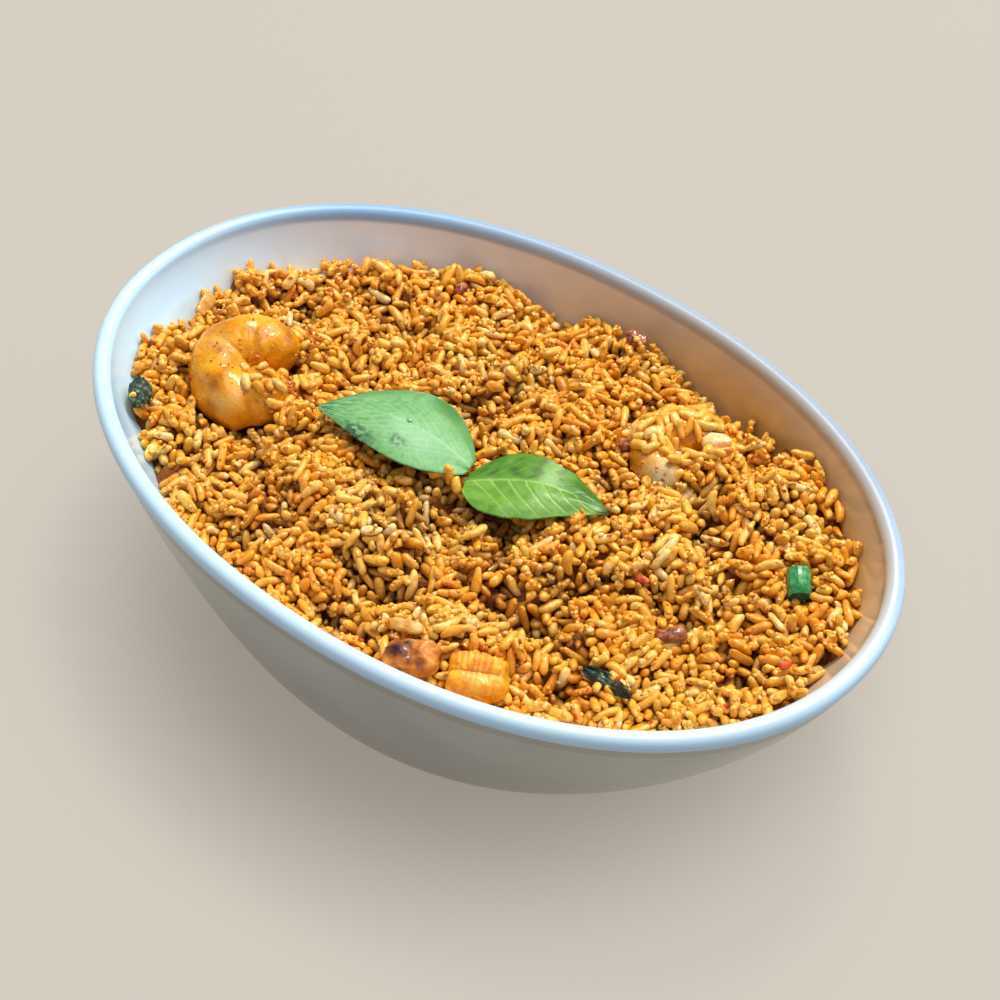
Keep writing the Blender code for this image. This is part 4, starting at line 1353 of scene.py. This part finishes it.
# %% Spring onion
made = bmesh.new()
OUTER, INNER, TUBE = 2.7, 2.05, 6.8
outline = [(OUTER - 0.1, -TUBE / 2), (OUTER, -TUBE / 2 + 0.1), (OUTER, TUBE / 2 - 0.1),
           (OUTER - 0.1, TUBE / 2), (INNER, TUBE / 2), (INNER, -TUBE / 2)]
points = [made.verts.new((r, 0, z)) for r, z in outline]
edges = [made.edges.new(pair) for pair in zip(points, points[1:] + points[:1])]
bmesh.ops.spin(made, geom=points + edges, axis=(0, 0, 1), cent=(0, 0, 0), steps=72,
               angle=2 * math.pi, use_merge=True)
bmesh.ops.remove_doubles(made, verts=made.verts[:], dist=0.001)
bmesh.ops.recalc_face_normals(made, faces=made.faces[:])
for corner in made.verts:
    turn = math.atan2(corner.co.y, corner.co.x)
    rib = 1 + 0.012 * math.cos(18 * turn) + 0.03 * math.cos(2 * turn)
    corner.co.x *= rib
    corner.co.y *= rib * 0.96
settle_in(made, "spring_onion", 40.6, 109)
look, tree = material("spring_onion_leaf_cut")
place = node(tree, "TexCoord").outputs["Object"]
streak = node(tree, "TexNoise", {"Vector": place, "Scale": 1 / (1.2 * MM), "Detail": 3.0})
green = node(tree, "ValToRGB", {"Fac": streak.outputs[0]},
             stops=[(0.3, linear("#1F6B35")), (0.55, linear("#3E9A56")), (0.8, linear("#8CC987"))])
surface(tree, Base_Color=green.outputs[0], Roughness=0.3, IOR=1.4, Subsurface_Weight=0.2,
        Subsurface_Scale=1.0 * MM, Coat_Weight=0.4, Coat_Roughness=0.15)
add_piece(made, "spring_onion_tube", look, ["spring_onion"])


# %% [markdown]
# ## Basil leaves
# Two fresh leaves share one stalk. Each blade is a flat grid bent to the leaf's outline: its half
# width is a sine skewed towards the stalk. The midrib and the side veins are pressed into the
# grid itself, and the same veins are kept as an attribute, so that the colour follows the relief.
# So are the bruises, the deep green and a pale patch of painted sheen, a painted highlight, which lie at
# known places on each blade.

# %% Leaf shape
LEAF_ALONG, LEAF_ACROSS = 170, 60
LEAF_THICKNESS, LEAF_ARCH = 0.45, 2.0


def leaf_half_width(u, skew, blunt, taper):
    """Half the blade's width as a share of its full width, from the stalk (0) to the tip (1)."""
    return 0.5 * math.sin(math.pi * u ** skew) ** blunt * (1 - taper * u ** 2)


def vein_strength(u, v, veins, fan, near_veins, far_veins):
    """1 on a vein and 0 on the blade between: the midrib, then side veins that run to the edge."""
    out = abs(v)
    strength = near_veins if v > 0 else far_veins
    rib = bell(v, 0.0, 0.028) * (1 - 0.7 * u) * 0.8
    side = 0.0
    for k in range(veins):
        root = 0.04 + 0.80 * k / veins + (0.03 if v > 0 else 0.0)
        at = root + fan * out ** 1.2 * (1 - 0.45 * root)
        side = max(side, bell(u, at, 0.007) * (1 - out ** 3) * strength)
    return max(rib, side)


def left_marks(u, v):
    """Bruise, deep green and painted sheen, a pale painted highlight, of the left leaf; v is 1 at its
    near edge.
    """
    streak = noise.noise(Vector((u * 9, v * 16, 3.0)))
    blot = noise.noise(Vector((u * 30, v * 8, 7.0)))
    tip = eased_between(0.74, 0.98, u) * eased_between(-0.05, 0.30, streak)
    edge = bell(u, 0.70, 0.11) * eased_between(0.50, 0.80, v) * eased_between(-0.35, 0.05, blot)
    spots = bell(u, 0.46, 0.05) * bell(v, 0.55, 0.12) * eased_between(-0.2, 0.1, blot)
    deep = 0.9 * eased_between(0.55, 0.75, -v) * eased_between(0.50, 0.36, u)
    deep = max(deep, 0.7 * eased_between(0.60, 0.9, -v) * eased_between(0.5, 0.75, u),
               0.55 * eased_between(0.0, 0.35, streak) * eased_between(0.35, 0.8, u))
    pale = 0.6 * bell(u, 0.35, 0.22) * bell(v, 0.25, 0.4)
    return max(tip, edge, spots), deep, pale


def right_marks(u, v):
    """The same of the right leaf, whose pale patch is a painted reflection of the sky."""
    blot = noise.noise(Vector((u * 14, v * 4, 1.0)))
    far = eased_between(0.05, -0.15, v)
    pale = 0.75 * bell(u, 0.56, 0.08) * far * (0.8 + 0.5 * blot)
    deep = max(far * (0.70 + 0.5 * blot), eased_between(0.62, 0.80, u) * eased_between(0.7, 0.0, v))
    deep = max(deep, 0.35 * eased_between(-0.1, 0.3, blot))
    bruise = max(eased_between(0.90, 0.99, u), 0.4 * far * eased_between(0.15, 0.35, blot))
    return bruise, max(0.0, deep - pale), pale


def leaf(cad_node, look, marks, plan):
    """A blade: v runs from -1 at its far edge to 1 at its near edge."""
    made = bmesh.new()
    bmesh.ops.create_grid(made, x_segments=LEAF_ALONG, y_segments=LEAF_ACROSS, size=0.5)
    layers = [made.verts.layers.float.new(key) for key in ("vein", "bruise", "deep", "pale")]
    heading = math.radians(plan["heading"])
    ahead = Vector((math.cos(heading), math.sin(heading), 0))
    side = Vector((-ahead.y, ahead.x, 0)) * plan["near"]
    length, width = plan["length"], plan["width"]
    for corner in made.verts:
        u = 0.02 + 0.975 * (corner.co.x + 0.5)
        v = 2 * corner.co.y
        wavy = 0.05 * noise.noise(Vector((u * 9, 3.0 if v > 0 else 8.0, length)))
        tooth = 1 + (plan["serrate"] * ((u * 22) % 1.0 - 0.5) + wavy) * abs(v) ** 6
        wide = width * leaf_half_width(u, *plan["outline"]) * tooth
        vein = vein_strength(u, v, *plan["veins"])
        spot = Vector(plan["base"]) + ahead * length * u
        spot += side * (v * wide + plan["bend"] * length * u * (1 - u))
        lift = LEAF_ARCH * (1 - v * v) * math.sin(math.pi * u)
        lift += plan["curl"] * max(0.0, -v - 0.55) ** 2 * math.sin(math.pi * u) * width * 0.5
        lift += 0.45 * noise.noise(Vector((u * 5, v * 2, length))) - 0.18 * vein
        lift += 0.35 * v * v * noise.noise(Vector((u * 8, v, length)))
        spot.z += (plan["tip"] - spot.z) * u + lift
        corner.co = spot
        for layer, value in zip(layers, (vein, *marks(u, v))):
            corner[layer] = value
    made.normal_update()
    bmesh.ops.recalc_face_normals(made, faces=made.faces[:])
    bmesh.ops.solidify(made, geom=made.faces[:], thickness=LEAF_THICKNESS)
    bmesh.ops.recalc_face_normals(made, faces=made.faces[:])
    return add_piece(made, cad_node + "_blade", look, [cad_node])


# %% [markdown]
# ## Basil as a material
# The upper face of a basil leaf is bright and waxy, with veins paler than the blade. The underside
# is matt and bluish, because a fine down scatters the light. Both are thin enough to let some
# light through. The tips and one edge are bruised dark.

# %% Leaf material
def leaf_look(name, colours, mottled, gloss, sheen):
    """A blade's look: colours are the blade's two greens, then deep, the pale of the painted sheen, vein
    and bruise.
    """
    blade, blade_dark, deep, pale, vein, bruise = [linear(c) for c in colours]
    look, tree = material(name)
    place = node(tree, "TexCoord").outputs["Object"]
    cloud = node(tree, "TexNoise", {"Vector": place, "Scale": 1 / (6 * MM), "Detail": 4.0})
    base = node(tree, "Mix", {0: cloud.outputs[0], 6: blade_dark, 7: blade}, data_type="RGBA").outputs[2]
    # small darker freckles of the blade, about 1 mm
    freckle = node(tree, "TexNoise", {"Vector": place, "Scale": 1 / (1.5 * MM), "Detail": 5.0})
    freckle = node(tree, "MapRange", {"Value": freckle.outputs[0], "From Min": 0.46,
                                      "From Max": 0.70, "To Max": mottled}).outputs[0]
    base = node(tree, "Mix", {0: freckle, 6: base, 7: deep}, data_type="RGBA").outputs[2]
    # the pale attribute mixes in a painted sheen, a painted highlight on the blade
    for key, colour in (("deep", deep), ("pale", pale), ("vein", vein)):
        share = node(tree, "Attribute", attribute_name=key).outputs["Fac"]
        base = node(tree, "Mix", {0: share, 6: base, 7: colour}, data_type="RGBA").outputs[2]
    worn = node(tree, "Attribute", attribute_name="bruise").outputs["Fac"]
    blotch = node(tree, "TexNoise", {"Vector": place, "Scale": 1 / (1.1 * MM), "Detail": 4.0})
    blotch = node(tree, "MapRange", {"Value": blotch.outputs[0], "From Min": 0.30,
                                     "From Max": 0.44}).outputs[0]
    worn = node(tree, "Math", {0: worn, 1: blotch}, operation="MULTIPLY").outputs[0]
    base = node(tree, "Mix", {0: worn, 6: base, 7: bruise}, data_type="RGBA").outputs[2]
    cells = node(tree, "TexVoronoi", {"Vector": place, "Scale": 1 / (0.9 * MM)})
    bump = node(tree, "Bump", {"Height": cells.outputs["Distance"], "Strength": 0.35,
                               "Distance": 0.15 * MM})
    surface(tree, Base_Color=base, Roughness=gloss, IOR=1.42, Normal=bump.outputs[0],
            Subsurface_Weight=0.12, Subsurface_Scale=0.6 * MM, Sheen_Weight=sheen,
            Sheen_Roughness=0.5, Coat_Weight=0.15, Coat_Roughness=0.3)
    return look


pale_leaf = leaf_look("basil_underside_downy", ("#82BC76", "#64A45E", "#4A8A34", "#9ACFA0",
                                                "#A2D29A", "#1F3A38"), 0.60, 0.5, 0.1)
bright_leaf = leaf_look("basil_top_waxy", ("#80B23A", "#5C9424", "#34700E", "#A9CC90",
                                           "#A6CC66", "#4A4A1C"), 0.30, 0.34, 0.0)
LEFT_LEAF = {"base": (-0.1, -3.4, 45.6), "tip": 45.8, "length": 44.4, "width": 23.6,
             "heading": 190.5, "near": 1, "bend": -0.42, "outline": (0.87, 0.74, 0.22),
             "veins": (9, 0.62, 0.42, 0.42), "serrate": 0.0, "curl": 0.8}
RIGHT_LEAF = {"base": (-0.2, -7.0, 44.2), "tip": 45.2, "length": 36.7, "width": 23.5,
              "heading": 22.8, "near": -1, "bend": -0.32, "outline": (0.75, 0.82, 0.35),
              "veins": (7, 0.34, 0.7, 0.22), "serrate": 0.014, "curl": 0.0}
left_leaf = leaf("basil_leaf_left", pale_leaf, left_marks, LEFT_LEAF)
leaf("basil_leaf_right", bright_leaf, right_marks, RIGHT_LEAF)


# %% [markdown]
# One drop of water stands on the left leaf. A clear drop shows the leaf below it, so its surface is
# simply given the leaf's green. Water has an IOR of 1.33, and the coat gives a sharp point of light.

# %% Water drop
spot = dropped(tree_of(left_leaf), -21.7, -1.8)[0]
drop_look, tree = material("water_drop_clear")
surface(tree, Base_Color=linear("#7FB79A"), Roughness=0.04, IOR=1.33, Coat_Weight=1.0,
        Coat_Roughness=0.02)
made = bmesh.new()
bmesh.ops.create_uvsphere(made, u_segments=20, v_segments=10, radius=0.75)
bmesh.ops.scale(made, vec=(1, 1, 0.6), verts=made.verts[:])
bmesh.ops.translate(made, vec=spot, verts=made.verts[:])
add_piece(made, "water_drop", drop_look)
